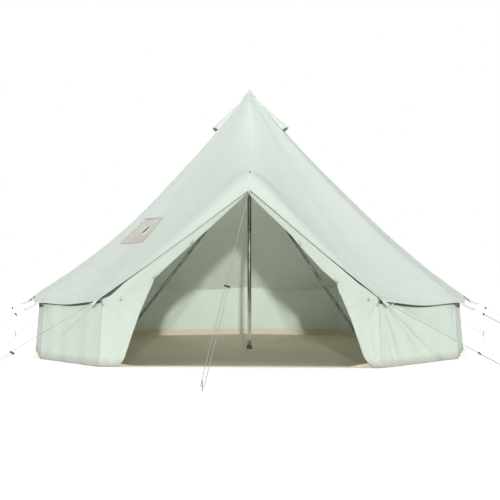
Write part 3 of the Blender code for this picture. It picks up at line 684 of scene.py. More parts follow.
def ribbonPart(path, across, width, thick):
    points, flat = [], []
    along, half = 0.0, width / 2
    for k, spot in enumerate(path):
        face = wayAt(path, k).cross(across).normalized()
        if k:
            along += (spot - path[k - 1]).length
        for sign, lift in ((-1, -1), (1, -1), (1, 1), (-1, 1)):
            points.append(spot + across * half * sign + face * thick / 2 * lift)
            flat.append((half * (1 + sign), along))
    last = (len(path) - 1) * 4
    return points, ringFaces(len(path), 4) + [[3, 2, 1, 0], [last + k for k in range(4)]], flat


def toMaterialSlots(node, finish):
    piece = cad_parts[node]
    piece.data.materials.clear()
    piece.data.materials.append(finishes[finish])
    return piece


# Guy lines: ropes, sliders, pegs, tabs and rings

tabs = {
    "sideLength": 0.135, "sideOnRoof": 0.05, "sideWidth": 0.17, "sideTip": 0.030,
    "doorLength": 0.060, "doorOnRoof": 0.06, "doorWidth": 0.060, "doorTip": 0.022,
    "apexLength": 0.045, "apexOnRoof": 0.030, "apexWidth": 0.034, "apexTip": 0.020,
    "thick": 0.0022, "arch": 0.030, "backShare": 0.60, "ring": 0.0105, "wire": 0.0022,
    "stations": 15, "columns": 9, "lift": 0.0034, "sideLift": -0.0045, "gather": 0.25,
}
knotShape = {"size": 0.0062, "long": 1.5, "fat": 0.62, "power": 0.4, "turns": 1.6, "steps": 24}
# Peg and slider place of the ropes from the brow and the two corners beside the door
frontRopes = {
    0: ((-0.38, -3.93), 0.54),
    1: ((2.38, -3.20), 0.72),
    panels - 1: ((-2.42, -3.15), 0.72),
}


# Where a rope's peg stands, and how far along the rope its slider sits
def pegAndSlider(index):
    if index in frontRopes:
        (x, y), place = frontRopes[index]
        return Vector((x, y + shift, 0.0)), place
    angle = seamAngles[index]
    reach = ropes["backReach"] if abs(angle - 180) < panelAngle * 1.5 else ropes["sideReach"]
    return middle + heading(angle) * (tent["eaveRadius"] + reach), ropes["sidePlace"]


def guyRoute(start, pegSpot, place):
    level = Vector((pegSpot.x - start.x, pegSpot.y - start.y, 0.0)).normalized()
    loop = ropes["loopRadius"]
    centre = Vector((pegSpot.x, pegSpot.y, ropes["loopHeight"]))
    line = (centre - start).normalized()
    reach = loop * math.hypot(line.x, line.y)
    centre -= level * (reach - ropes["pegRadius"] - ropes["radius"] - ropes["loopGap"])
    line = (centre - start).normalized()
    side = level.cross(up).normalized()
    upright = side.cross(line).normalized()
    tilt = math.radians(ropes["loopTilt"])
    apart = turned(side, upright, tilt)
    apart = (apart - line * apart.dot(line)).normalized()
    strandEnd = centre + apart * loop
    line = (strandEnd - start).normalized()
    apart = (apart - line * apart.dot(line)).normalized()
    centre = strandEnd - apart * loop
    slider = start + line * (strandEnd - start).length * place
    backEnd = slider - apart * 2 * loop - line * ropes["sliderThickness"]
    path = [start.lerp(strandEnd, k / ropes["points"]) for k in range(ropes["points"])]
    for k in range(ropes["loopSteps"] * 2 + 1):
        turn = math.pi * k / (ropes["loopSteps"] * 2)
        path.append(centre + apart * loop * math.cos(turn) + line * loop * math.sin(turn))
    returned = path[-1]
    path += [returned.lerp(backEnd, (k + 1) / 3) for k in range(3)]
    return path, line, backEnd


# The same path with points no further apart than the spacing
def finer(path, spacing):
    made = [path[0]]
    for here, after in zip(path, path[1:]):
        count = max(1, math.ceil((after - here).length / spacing))
        made += [here.lerp(after, (k + 1) / count) for k in range(count)]
    return made


# Overhand knot: a short fat coil of the rope
def knotPart(place, line):
    side = line.orthogonal().normalized()
    other = line.cross(side)
    size, steps = knotShape["size"], knotShape["steps"]
    path = []
    for k in range(steps + 1):
        turn = 2 * math.pi * knotShape["turns"] * k / steps
        along = (k / steps - 0.5) * size * knotShape["long"]
        bulge = size * knotShape["fat"] * math.sin(math.pi * (k + 1.5) / (steps + 3)) ** knotShape["power"]
        path.append(place + line * along + turned(side, other, turn) * bulge)
    return tubePart(path, ropes["radius"] * 0.95)


# Canvas tab sewn on a corner of the roof and gathered round the rope, down to its ring
def eaveTab(index, start, line):
    across = sideways(seamAngles[index])
    style = "apex" if index == 0 else "door" if index in doorCorners else "side"
    length, onRoof, width, tip = (tabs[style + key] for key in ("Length", "OnRoof", "Width", "Tip"))
    if abs(index - backCorner) < 2:
        length *= tabs["backShare"]
    face = upward(across.cross(line).normalized())
    points, flat = [], []
    stations, columns = tabs["stations"], tabs["columns"]
    for station in range(stations):
        part = station / (stations - 1)
        away = part * (length + onRoof) - onRoof
        if away < 0:
            share = 1.0 + away / (roofDrop * tent["slope"])
            below = seamLine(index, min(1.0, share + 0.004))
            normal = upward(across.cross((below - seamLine(index, share - 0.004)).normalized()))
            centre = seamLine(index, share) + normal * tabs["sideLift" if style == "side" else "lift"]
            arch = tabs["arch"] * 0.25 * part
        else:
            normal = face
            centre = start + line * away + face * (ropes["radius"] + 0.001)
            arch = tabs["arch"] * min(1.0, 0.3 + away / 0.05)
        half = (width + (tip - width) * smoothStep(0.0, 1.0, part)) / 2
        for column in range(columns):
            side = 2 * column / (columns - 1) - 1
            narrow = 1 - tabs["gather"] * arch / tabs["arch"] * abs(side)
            points.append(centre + across * half * side * narrow - normal * (arch * side * side))
            flat.append((min(half * (1 - abs(side)), 0.02), length - away))
    faces = []
    for station in range(stations - 1):
        for column in range(columns - 1):
            base = station * columns + column
            faces.append([base, base + 1, base + columns + 1, base + columns])
    if (points[1] - points[0]).cross(points[columns] - points[0]).dot(face) < 0:
        faces = [corners[::-1] for corners in faces]
    ringCentre = start + line * (length + 0.004)
    ring = [ringCentre + turned(across, face, 2 * math.pi * k / 24) * tabs["ring"] for k in range(25)]
    return (points, faces, flat), tubePart(ring, tabs["wire"], caps=False)


def buildGuyLines():
    tabParts, ringParts = [], []
    under = up * (tent["lay"] / 2)
    for index in range(panels):
        number = f"{index + 1:02d}"
        start = seamLine(index, 1.0) - under + heading(seamAngles[index]) * ropes["startGap"]
        path, line, backEnd = guyRoute(start, *pegAndSlider(index))
        full = finer(path, ropes["spacing"])
        rope = makePiece("guyRope" + number, "guy_rope", [tubePart(full, ropes["radius"], 12)])
        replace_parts(rope, "guy_rope_" + number)
        coil = knotPart(backEnd + line * 0.001, line)
        knot = makePiece("guyKnot" + number, "guy_rope", [coil], "guy_slider_" + number)
        slider = toMaterialSlots("guy_slider_" + number, "slider")
        peg = toMaterialSlots("guy_peg_" + number, "peg_steel")
        strap, ring = eaveTab(index, start, line)
        tabParts.append(strap)
        ringParts.append(ring)
    makePiece("eaveTabs", "trim_canvas", tabParts, thick=tabs["thick"])
    makePiece("eaveRings", "ring_steel", ringParts)


buildGuyLines()
print("guy lines:", panels)

# Roof: one sheet of twelve sewn panels

roof = {
    "rows": 78, "rowPower": 1.08, "columns": 15, "seamHalf": 0.0105, "seamRise": 0.0012, "thick": 0.0019,
    "hem": 0.042, "hemRise": 0.0006, "hemDip": 0.012, "sag": 0.020, "frontSag": 0.010, "sagWidth": 1.33,
    "ridgeRound": 0.15, "browRound": 0.012, "bulge": 0.040, "bulgeWidth": 0.09,
    "doorSeamRound": 0.24, "seamRound": 0.06, "ventFrom": 0.27, "ventTo": 0.46, "ventHalf": 0.055,
    "apexFold": 0.0050, "apexReach": 0.55, "slack": 0.0060, "wrinkle": 0.0022,
    "cornerFold": 0.0085, "cornerReach": 0.42, "cornerFar": 1.3,
    "dartAbove": 0.055, "dartBelow": 0.012, "dartRows": 18,
}


def panelWidth(panel, share):
    return (seamLine(panel, share) - seamLine(panel + 1, share)).length


# Lowers the roof beside the ridge, where the canvas bends softly over it
def roundedRidge(panel, across, share, point):
    ridge = seamLine(0, share)
    corner = seamLine(1 if panel == 0 else panels - 1, share)
    run = max(0.01, abs(corner.x))
    fall = Vector((0.0, (corner.y - ridge.y) / run, (corner.z - ridge.z) / run))
    if fall.z >= 0:
        return point
    size = roof["ridgeRound"] * smoothStep(0.0, 0.5, share) * (1 - smoothStep(0.72, 0.93, share))
    size += roof["browRound"]
    away = abs(point.x)
    fade = 1 - smoothStep(0.0, 1.0, across if panel == 0 else 1 - across)
    full = roof["bulge"] * smoothStep(0.80, 0.94, share) * (1 - smoothStep(0.96, 1.0, share))
    rise = -fall.z * full * (1 - bell(away, 0.0, roof["bulgeWidth"])) * fade
    return point + fall * (math.hypot(away, size) - away) * fade + up * rise


def shapedRoof(panel, across, share):
    point = flatRoof(panel, across, share)
    return roundedRidge(panel, across, share, point) if panel in ridgePanels else point


# A point of the roof before its folds, and the way out of the tent there
def roofFrame(panel, across, share):
    above, below = max(0.002, share - 0.004), min(1.0, share + 0.004)
    left, right = max(0.0, across - 0.02), min(1.0, across + 0.02)
    down = shapedRoof(panel, across, below) - shapedRoof(panel, across, above)
    beside = shapedRoof(panel, right, share) - shapedRoof(panel, left, share)
    return shapedRoof(panel, across, share), down.cross(beside).normalized()


# Creases that fan out from the two eave corners of a panel
def cornerCreases(panel, across, share):
    total = 0.0
    width = panelWidth(panel, share)
    fall = hemDistance(share)
    for side, corner in ((across * width, panel), ((1 - across) * width, panel + 1)):
        far = math.hypot(side, fall)
        if corner in (0, panels) or far > roof["cornerFar"] or far < 1e-4:
            continue
        fan = math.atan2(side, fall)
        wave = math.sin(fan * 13 + corner * 2.1) + 0.6 * math.sin(fan * 23 + corner * 4.7)
        edge = min(1.0, fan / 0.12)
        total += wave * edge * math.exp(-far / roof["cornerReach"]) * min(1.0, far / 0.10)
    return total * roof["cornerFold"]


# Pleats below the apex, long slack folds, and fine wrinkles
def roofFolds(panel, across, share, point):
    drop = share * roofDrop
    around = sideways(seamAngles[panel] + (seamAngles[panel + 1] - seamAngles[panel]) * across)
    pull = math.exp(-drop / roof["apexReach"]) * min(1.0, drop / 0.10)
    pleats = noise.noise(around * 5.5 + Vector((3.0, 1.0, drop * 0.5)))
    pleats += 0.5 * noise.noise(around * 12 + up * drop * 0.6)
    long = noise.noise(around * 3.2 + Vector((7.0, 2.0, drop * 0.35)))
    fade = smoothStep(0.0, 0.22, across) * smoothStep(0.0, 0.22, 1 - across)
    lift = roof["apexFold"] * pull * pleats * 2 + roof["slack"] * long * min(1.0, drop / 0.5) * fade
    lift += roof["wrinkle"] * noise.noise(point * 3.1) * fade * min(1.0, drop / 0.3)
    return lift + cornerCreases(panel, across, share)


# Small dart where the A-frame's crown pushes into the ridge: a dent, and a tuck on each side of it
def dartFold(point):
    above = point.z - seamLine(0, tent["crownShare"]).z
    wide = abs(point.x - 0.006)
    if above < -0.05 or above > 0.12 or wide > 0.06:
        return 0.0
    dent = bell(wide, 0.0, 0.0085) * bell(above, 0.050, 0.016)
    tuck = bell(wide - 0.015 - above * 0.12, 0.0, 0.008) * bell(above, 0.065, 0.05)
    return 0.007 * tuck - 0.010 * dent


# Lowers the canvas at a seam, so that it bends over it instead of creasing
def seamBend(panel, across, share, width):
    lift = 0.0
    for index, away, part in ((panel, across * width, across), (panel + 1, (1 - across) * width, 1 - across)):
        if index in (0, panels):
            continue
        size = roof["doorSeamRound"] if index in doorCorners else roof["seamRound"]
        size *= min(1.0, width / 0.8) * (1 - smoothStep(0.84, 1.0, share))
        lift -= seamSlope(index, share) * (math.hypot(away, size) - away) * (1 - smoothStep(0.0, 1.0, part))
    return lift


seamSlopes = {}


# Half the bend between the two panels at a seam, as a slope. It is kept, because each row asks for it often.
def seamSlope(index, share):
    if (index, share) not in seamSlopes:
        before = roofFrame(index - 1, 1.0, share)[1]
        after = roofFrame(index, 0.0, share)[1]
        bend = math.tan(before.angle(after, 0.0) / 2)
        beyond = flatRoof(index, 0.05, share) - seamLine(index, share)
        seamSlopes[index, share] = bend if beyond.dot(before) < 0 else -bend
    return seamSlopes[index, share]


def roofPoint(panel, across, share):
    point, out = roofFrame(panel, across, share)
    width = panelWidth(panel, share)
    front = panel in ridgePanels
    steep = panel in (0, 1, panels - 2, panels - 1)
    bow = math.sin(math.pi * across) ** 2 if steep else 4 * across * (1 - across)
    sag = roof["frontSag"] if front else roof["sag"]
    lift = -sag * bow * (width / roof["sagWidth"]) ** 1.3 + roofFolds(panel, across, share, point)
    lift += seamBend(panel, across, share, width)
    if front:
        lift += dartFold(point)
    seam = panel if across < 0.5 else panel + 1
    if min(across, 1 - across) * width < roof["seamHalf"] + 0.0005 and seam not in frontSeams:
        lift += roof["seamRise"]
    lift += roof["hemRise"] * smoothStep(roof["hem"] + 0.006, roof["hem"], hemDistance(share))
    point = point + out * lift
    if not front:
        point.z -= roof["hemDip"] * bow * smoothStep(0.9, 1.0, share)
    return point


# Places across a panel, close together beside its seams
def seamColumns(width):
    near = [0.0, roof["seamHalf"], roof["seamHalf"] + 0.0018, roof["seamHalf"] + 0.006]
    scale = min(1.0, width * 0.18 / near[-1])
    near = [spot * scale / width for spot in near]
    count = roof["columns"]
    inside = [near[-1] + (1 - 2 * near[-1]) * k / count for k in range(1, count)]
    return near + inside + [1 - spot for spot in near[:0:-1]]


# The two front panels have their columns close together beside the ridge, for the dart
def panelColumns(panel, width):
    spots = seamColumns(width)
    if panel not in ridgePanels:
        return spots
    spots = [spot if spot > 0.5 else spot * (0.45 + 0.55 * (spot / 0.5) ** 1.2) for spot in spots]
    spots[1:4] = [min(place, width * 0.04) / width for place in (0.006, 0.012, 0.019)]
    return spots if panel == 0 else [1 - spot for spot in spots[::-1]]


jack = {
    "panel": leftSideCorner + 1, "size": 0.40, "drop": 1.70, "place": 0.57, "thick": 0.003, "lift": 0.0052,
    "fluePlace": 0.66, "flueRadius": 0.052, "opening": 0.095, "rollRadius": 0.014, "collar": 0.0065,
}
jackLevel = jack["drop"] / roofDrop
flue = flatRoof(jack["panel"], jack["fluePlace"], jackLevel)

roofTree = []


# The point, lowered where it would stand nearer than the gap to the roof above it
def underRoof(point, gap):
    hit = roofTree[0].ray_cast(Vector((point.x, point.y, tent["apex"] + 1.0)), -up)[0]
    if hit is not None and point.z > hit.z - gap > point.z - 0.12:
        return Vector((point.x, point.y, hit.z - gap))
    return point


# The mesh's rows down the roof, close together about the dart and at the hem
def roofShares():
    perMetre = 1 / (roofDrop * tent["slope"])
    hem, rows, dartRows = roof["hem"], roof["rows"], roof["dartRows"]
    shares = [firstShare + (1 - firstShare) * (k / rows) ** roof["rowPower"] for k in range(rows)]
    shares = [share for share in shares if share < 1 - (hem + 0.01) * perMetre]
    low, high = tent["crownShare"] - roof["dartAbove"], tent["crownShare"] + roof["dartBelow"]
    shares = [share for share in shares if not low < share < high]
    shares = sorted(shares + [low + (high - low) * k / dartRows for k in range(dartRows + 1)])
    edge = (hem + 0.007, hem + 0.003, hem - 0.0002, 0.020, 0.0015, 0.0)
    return shares + [1 - spot * perMetre for spot in edge]


# Whether a face lies in a vent or in the hole of the stove jack
def inHole(panel, centre, share, drop):
    if panel in (sideCorner - 1, leftSideCorner) and roof["ventFrom"] < drop < roof["ventTo"]:
        half = min(roof["ventHalf"], panelWidth(panel, share) * 0.28)
        if (centre - flatRoof(panel, 0.5, share)).length < half:
            return True
    away = Vector((centre.x - flue.x, centre.y - flue.y, 0.0)).length
    return panel == jack["panel"] and away < jack["opening"] and abs(centre.z - flue.z) < jack["opening"]


def buildRoof():
    shares = roofShares()
    points, flat = [], []
    for share in shares:
        for panel in range(panels):
            width = max(0.002, panelWidth(panel, share))
            for across in panelColumns(panel, width)[:-1]:
                points.append(roofPoint(panel, across, share))
                seam = panel if across < 0.5 else panel + 1
                plain = 0.2 if seam in frontSeams else 0.0    # no stitches beside the front seams
                flat.append((min(across, 1 - across) * width + plain, hemDistance(share)))
    columnsEach = len(seamColumns(1.0)) - 1
    total = columnsEach * panels
    faces = []
    for face in ringFaces(len(shares), total, flip=True):
        row, column = divmod(face[0], total)
        drop = (shares[row] + shares[row + 1]) / 2 * roofDrop
        centre = (points[face[0]] + points[face[2]]) / 2
        if not inHole(column // columnsEach, centre, shares[row], drop):
            faces.append(face)
    roofTree.append(BVHTree.FromPolygons(points, faces))
    piece = makePiece("roofCanvas", "roof_canvas", [(points, faces, flat)], thick=roof["thick"])
    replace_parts(piece, "roof_front_left", "roof_front_right", "roof_back_left", "roof_back_right")


dart = {
    "above": 0.018, "long": 0.062, "wide": 0.022, "aside": 0.007, "proud": 0.0007, "thick": 0.0006,
    "rows": 10,
}


# Dark strip in the ridge, just above the crown of the frame: painted shade of the dart's tuck, laid as a thin
# dark sheet
def buildDartShade():
    points, flat = [], []
    for row in range(dart["rows"] + 1):
        part = row / dart["rows"]
        share = tent["crownShare"] - (dart["above"] + dart["long"] * (1 - part)) / roofDrop
        half = dart["wide"] / 2 * (0.25 + 0.75 * part ** 0.7) * (1 - smoothStep(0.85, 1.05, part))
        width = panelWidth(0, share)
        for side in (-1.0, 0.0, 1.0):
            spot = dart["aside"] + half * side
            panel, across = (0, spot / width) if spot >= 0 else (panels - 1, 1 + spot / width)
            out = roofFrame(panel, across, share)[1]
            points.append(roofPoint(panel, across, share) + out * dart["proud"])
            flat.append((half * (1 + side), dart["long"] * part))
    faces = gridFaces(dart["rows"] + 1, 3)
    makePiece("ridgeDartShade", "painted_shade_tape", [(points, faces, flat)], thick=dart["thick"])


buildRoof()
buildDartShade()
print("roof sewn")

# Walls in four runs, with corner seams, creases and a foot hem

wall = {
    "rows": 40, "columns": 56, "thick": 0.0016, "fold": 0.010, "folds": 3.2, "hem": 0.03, "tuck": 0.004,
    "seamHalf": 0.010, "rise": 0.0011, "foot": 0.0015, "reach": 0.95, "calmReach": 0.40, "calmPull": 0.0045,
}
# How hard each panel is pulled at its corner
wallCreases = {1: 0.034, 2: 0.010, panels - 2: 0.006, panels - 3: 0.006}


def wallCorner(index, level):
    top = seamLine(index, wallShare)
    radius = tent["wallFoot"] + (tent["wallTop"] - tent["wallFoot"]) * level
    point = middle + heading(seamAngles[index]) * radius
    point.z = wall["foot"] + (top.z - tent["lay"] - tent["gap"] - wall["foot"]) * level
    return point


def flatNormal(first, second):
    run = second - first
    normal = Vector((run.y, -run.x, 0.0)).normalized()
    return normal if normal.dot(first + second - middle * 2) > 0 else -normal


# Narrow ridges over a fan of creases
def creaseRidge(turn, power):
    return (1 - abs(math.sin(turn))) ** power


# Soft upright folds, and creases that fan out from the panel's two upper corners
def wallFolds(panel, across, level, width):
    calm = min(1.0, across * 9, (1 - across) * 9)
    wave = math.sin(2 * math.pi * wall["folds"] * across + panel * 1.7) * 0.5
    wave += noise.noise(Vector((across * 7, panel * 3.3, level * 0.7)))
    total = wall["fold"] * wave * calm * (1 - level * 0.55)
    strong = wallCreases.get(panel, wall["calmPull"])
    for side, corner in ((across * width, 0), ((1 - across) * width, 1)):
        pulled = strong if (corner == 0) == (panel < backCorner) else 0.004
        fall = (1 - level) * tent["eave"]
        far = math.hypot(side, fall)
        if far < 1e-4:
            continue
        fan = math.atan2(fall, side)
        ridges = creaseRidge(fan * 7.5 + panel * 0.9, 2.2) + 0.6 * creaseRidge(fan * 13 + panel * 2, 3)
        reach = wall["reach"] if pulled > 0.02 else wall["calmReach"]
        edge = smoothStep(0.0, 0.09, side) * min(1.0, (fan + 0.05) / 0.3)
        total += pulled * ridges * math.exp(-far / reach) * min(1.0, far / 0.14) * edge
    return total


def wallPoint(panel, across, level):
    first, second = wallCorner(panel, level), wallCorner(panel + 1, level)
    point = first.lerp(second, across)
    out = flatNormal(wallCorner(panel, 0.0), wallCorner(panel + 1, 0.0))
    width = (second - first).length
    lift = wallFolds(panel, across, level, width) * smoothStep(1.02, 0.86, level)
    if min(across, 1 - across) * width < wall["seamHalf"]:
        lift += wall["rise"]
    if level * tent["eave"] < wall["hem"]:
        lift += wall["rise"] * 0.7
    point = point + out * lift
    if level > 0.8:
        ceiling = roofPoint(panel, across, wallShare).z - roof["thick"] * 1.6 - wall["tuck"]
        point.z -= max(0.0, point.z - ceiling) * smoothStep(0.8, 1.0, level)
    return point


def buildWall(name, node, first, last):
    points, flat = [], []
    near = [0.0, wall["seamHalf"] * 0.99, wall["seamHalf"] + 0.0016, wall["seamHalf"] + 0.006]
    hem, rows, columns = wall["hem"], wall["rows"], wall["columns"]
    levels = [0.0, 0.02, hem * 0.97 / tent["eave"], hem * 1.04 / tent["eave"], hem * 1.2 / tent["eave"]]
    levels += [levels[-1] + (1 - levels[-1]) * (k + 1) / rows for k in range(rows)]
    for level in reversed(levels):
        for panel in range(first, last):
            width = (wallCorner(panel, level) - wallCorner(panel + 1, level)).length
            spots = [spot / width for spot in near]
            spots += [spots[-1] + (1 - 2 * spots[-1]) * k / columns for k in range(1, columns)]
            spots += [1 - spot / width for spot in near[::-1]]
            if panel < last - 1:
                spots = spots[:-1]
            for across in spots:
                spot = wallPoint(panel, across, level)
                points.append(underRoof(spot, 0.004) if level > 0.85 else spot)
                flat.append((min(across, 1 - across) * width, level * tent["eave"]))
    faces = gridFaces(len(levels), len(points) // len(levels))
    piece = makePiece(name, "wall_canvas", [(points, faces, flat)], thick=wall["thick"])
    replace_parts(piece, node)


buildWall("wallFrontRight", "wall_front_right", 1, sideCorner)
buildWall("wallBackRight", "wall_back_right", sideCorner, backCorner)
buildWall("wallBackLeft", "wall_back_left", backCorner, leftSideCorner)
buildWall("wallFrontLeft", "wall_front_left", leftSideCorner, panels - 1)
print("walls hung")

# Painted shade under the eave: a dark sheet on each wall's top where the eave's shadow falls, widest at the
# two side corners, where the shade deepens

eaveShade = {
    "cornerShade": 0.080, "cornerShadeWide": 1.15, "below": 0.023, "leftBelow": 0.020, "above": 0.035,
    "proud": 0.0022, "columns": 48, "rows": 7, "thick": 0.001, "panel": 1.3,
}


def buildEaveShade():
    parts = []
    rows, columns, above = eaveShade["rows"], eaveShade["columns"], eaveShade["above"]
    for panel in range(1, panels - 1):
        points, flat = [], []
        out = flatNormal(wallCorner(panel, 0.0), wallCorner(panel + 1, 0.0))
        for column in range(columns + 1):
            across = column / columns
            top = wallCorner(panel, 1.0).lerp(wallCorner(panel + 1, 1.0), across).z
            hem = roofPoint(panel, across, 1.0).z
            below = eaveShade["below"] if panel < backCorner else eaveShade["leftBelow"]
            # The painted shade runs deeper towards the two side corners
            fromCorner = {sideCorner - 1: 1 - across, leftSideCorner: across}.get(panel, 1.0)
            near = max(0.0, 1 - fromCorner * eaveShade["panel"] / eaveShade["cornerShadeWide"])
            below += eaveShade["cornerShade"] * near
            for row in range(rows):
                z = hem + above - (above + below) * row / (rows - 1)
                spot = wallPoint(panel, across, min(1.0, z / top)) + out * eaveShade["proud"]
                points.append(underRoof(spot, 0.003))
                flat.append((row * 0.02, across * eaveShade["panel"]))
        parts.append((points, gridFaces(columns + 1, rows, flip=True), flat))
    makePiece("eaveShade", "painted_shade_tape", parts, thick=eaveShade["thick"])


buildEaveShade()

# Door leaves, tied back

leaf = {
    "rows": 110, "columns": 34, "thick": 0.0016, "topDrop": 0.02, "footGap": 0.004, "edgeGap": 0.0008,
    "fold": 0.014, "folds": 2.4, "wrinkle": 0.004, "binding": 0.022, "bindRise": 0.0012, "blendWidth": 0.30,
    "cornerFold": 0.020, "cornerReach": 0.65,
    # the leaf's width at shares of its height from the ground
    "left": ((0.0, 0.19), (0.04, 0.25), (0.17, 0.318), (0.30, 0.392), (0.386, 0.455), (0.447, 0.359),
             (0.474, 0.307), (0.55, 0.276), (0.74, 0.21), (0.90, 0.15), (0.95, 0.12), (1.0, 0.03)),
    "right": ((0.0, 0.07), (0.014, 0.096), (0.04, 0.145), (0.07, 0.176), (0.26, 0.28), (0.39, 0.371),
              (0.43, 0.31), (0.453, 0.268), (0.52, 0.272), (0.656, 0.222), (0.71, 0.19), (0.82, 0.175),
              (0.93, 0.15), (1.0, 0.03)),
}


def widthAt(widths, share):
    for (low, narrow), (high, wide) in zip(widths, widths[1:]):
        if share <= high:
            return narrow + (wide - narrow) * (share - low) / (high - low)
    return widths[-1][1]


def softWidth(widths, share):
    spots = [share + offset for offset in (-0.009, -0.0045, 0.0, 0.0045, 0.009)]
    return sum(widthAt(widths, min(1.0, max(0.0, spot))) for spot in spots) / len(spots)


def leafPlan(side):
    index = 1 if side > 0 else panels - 1
    top = seamLine(0, wallShare) - up * (tent["lay"] + tent["gap"] * 2)
    corner = wallCorner(index, 1.0) - up * tent["gap"]
    foot = wallCorner(index, 0.0)
    foot.z = 0.0
    normal = (corner - top).cross(foot - corner).normalized()
    normal = -normal if normal.y > 0 else normal
    return top, corner, foot, normal


# Creases that fan down from the tie at the eave corner
def leafCreases(side, corner, x, z, across):
    fall, run = corner.z - z, abs(x - corner.x)
    far = math.hypot(fall, run)
    if fall < -0.1 or far < 0.01:
        return 0.0
    fan = math.atan2(run, fall + 0.02)
    sharp = creaseRidge(fan * 7.5 + 0.6, 1.6) + 0.5 * creaseRidge(fan * 12 + 1.9, 2)
    strength = leaf["cornerFold"] if side > 0 else leaf["cornerFold"] * 0.55
    lift = strength * sharp * math.exp(-far / leaf["cornerReach"])
    return lift * min(1.0, far / 0.15) * min(1.0, across * 6)


# A point of the leaf and the leaf's width there, across from the sewn edge
def leafPoint(side, across, z, plan, widths):
    top, corner, foot, normal = plan
    if z >= corner.z:
        edge = corner.x + (top.x - corner.x) * (z - corner.z) / (top.z - corner.z)
    else:
        edge = foot.x + (corner.x - foot.x) * z / corner.z
    edge -= side * leaf["edgeGap"]
    width = min(softWidth(widths, z / top.z), abs(edge) - 0.004)
    x = edge - side * width * across
    y = top.y - (normal.x * (x - top.x) + normal.z * (z - top.z)) / normal.y
    calm = min(1.0, max(0.0, (corner.z + 0.35 - z) / 0.7))
    wave = (1 - math.cos(2 * math.pi * leaf["folds"] * across)) / 2 * min(1.0, across * 3)
    lift = leaf["fold"] * wave * calm + leafCreases(side, corner, x, z, across)
    lift += leaf["wrinkle"] * noise.noise(Vector((x * 6, side * 2.0, z * 2.2))) * min(1.0, across * 5)
    if width * (1 - across) < leaf["binding"]:
        lift += leaf["bindRise"]
    return Vector((x, y, z)) + normal * lift, width


# Bakes the piece's placement into its mesh
def blendLeaf(piece):
    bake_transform(piece)


leafShade = {
    "width": 0.064, "proud": 0.0022, "thick": 0.001, "rows": 80, "strips": 4, "down": 0.93, "taper": 0.16,
    "wedge": 0.080, "wedgeRise": 0.045, "wedgeTall": 0.115,
}


# Painted shade along the leaf's sewn edge: a dark sheet whose inner rim shows under the roof's hem, where the
# hem's shadow falls
def buildLeafShade(name, side, widths):
    plan = leafPlan(side)
    top, corner, foot, normal = plan
    high, rows, strips = top.z - leaf["topDrop"], leafShade["rows"], leafShade["strips"]
    points, flat = [], []
    for row in range(rows + 1):
        z = high - (high - corner.z * leafShade["down"]) * row / rows
        wide = leafShade["width"] * (0.02 + 0.98 * smoothStep(0.0, leafShade["taper"], 1 - row / rows))
        # On the left leaf the painted shade widens into a wedge below the eave corner
        if side < 0:
            rise = z - corner.z
            wedge = leafShade["wedge"] * smoothStep(-leafShade["wedgeRise"], 0.0, rise)
            wide += wedge * max(0.0, 1 - max(0.0, rise) / leafShade["wedgeTall"])
        width = leafPoint(side, 0.0, z, plan, widths)[1]
        line = []
        for k in range(strips + 1):
            spot = leafPoint(side, min(1.0, wide * k / strips / width), z, plan, widths)[0]
            line.append(underRoof(spot + normal * leafShade["proud"], 0.004))
        points += line if side < 0 else line[::-1]
        flat += [(wide * k / strips, z) for k in range(strips + 1)]
    faces = gridFaces(rows + 1, strips + 1)
    piece = makePiece(name, "painted_shade_tape", [(points, faces, flat)], None, leafShade["thick"])
    blendLeaf(piece)


def buildLeaf(name, node, side, widths):
    plan = leafPlan(side)
    top, foot = plan[0], plan[2]
    low, high, rows, columns = leaf["footGap"], top.z - leaf["topDrop"], leaf["rows"], leaf["columns"]
    points, flat = [], []
    for row in range(rows + 1):
        z = high + (low - high) * row / rows
        width = leafPoint(side, 0.0, z, plan, widths)[1]
        bound = min(leaf["binding"] / width, 0.5)
        spots = [k / columns * (1 - bound * 1.12) for k in range(columns)]
        spots += [1 - bound * 1.06, 1 - bound * 0.99, 1 - bound * 0.5, 1.0]
        if side > 0:
            spots.reverse()
        points += [underRoof(leafPoint(side, spot, z, plan, widths)[0], 0.0045) for spot in spots]
        flat += [((1 - spot) * width, z) for spot in spots]
    faces = gridFaces(rows + 1, len(spots))
    piece = makePiece(name, "wall_canvas", [(points, faces, flat)], None, leaf["thick"])
    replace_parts(piece, node)
    blendLeaf(piece)


buildLeaf("doorLeafLeft", "door_leaf_left", -1, leaf["left"])
buildLeaf("doorLeafRight", "door_leaf_right", 1, leaf["right"])
buildLeafShade("doorShadeLeft", -1, leaf["left"])
buildLeafShade("doorShadeRight", 1, leaf["right"])
print("door leaves hung")

# Toggles and cord loops: at each wall corner under the eave, and at the free edges of the leaves

toggles = {
    "length": 0.024, "radius": 0.0042, "waist": 0.0026, "cord": 0.0016, "loopSteps": 16,
    "inset": 0.030, "drop": 0.040, "proud": 0.014, "leafInset": 0.012, "leafProud": 0.008,
}


def togglePart(place, way):
    half, fat, waist = toggles["length"] / 2, toggles["radius"], toggles["waist"]
    profile = [(0.0, -half), (fat * 0.8, -half * 0.96), (fat, -half * 0.7), (waist * 1.2, -half * 0.2)]
    profile += [(waist, 0.0)] + [(radius, -height) for radius, height in profile[::-1]]
    return turnedPart(profile, 14, place, way.to_track_quat("Z", "Y").to_matrix())


# The two sides of a loop that widens from the toggle up to its middle
def cordLoop(place, above, across, reach=0.011):
    tubes = []
    for wide in (reach, -reach):
        path = []
        for k in range(toggles["loopSteps"] + 1):
            part = k / toggles["loopSteps"]
            aside = across * wide * math.sin(math.pi * part) * (0.3 + part)
            path.append(place.lerp(above, part) + aside)
        tubes.append(tubePart(path, toggles["cord"]))
    return tubes


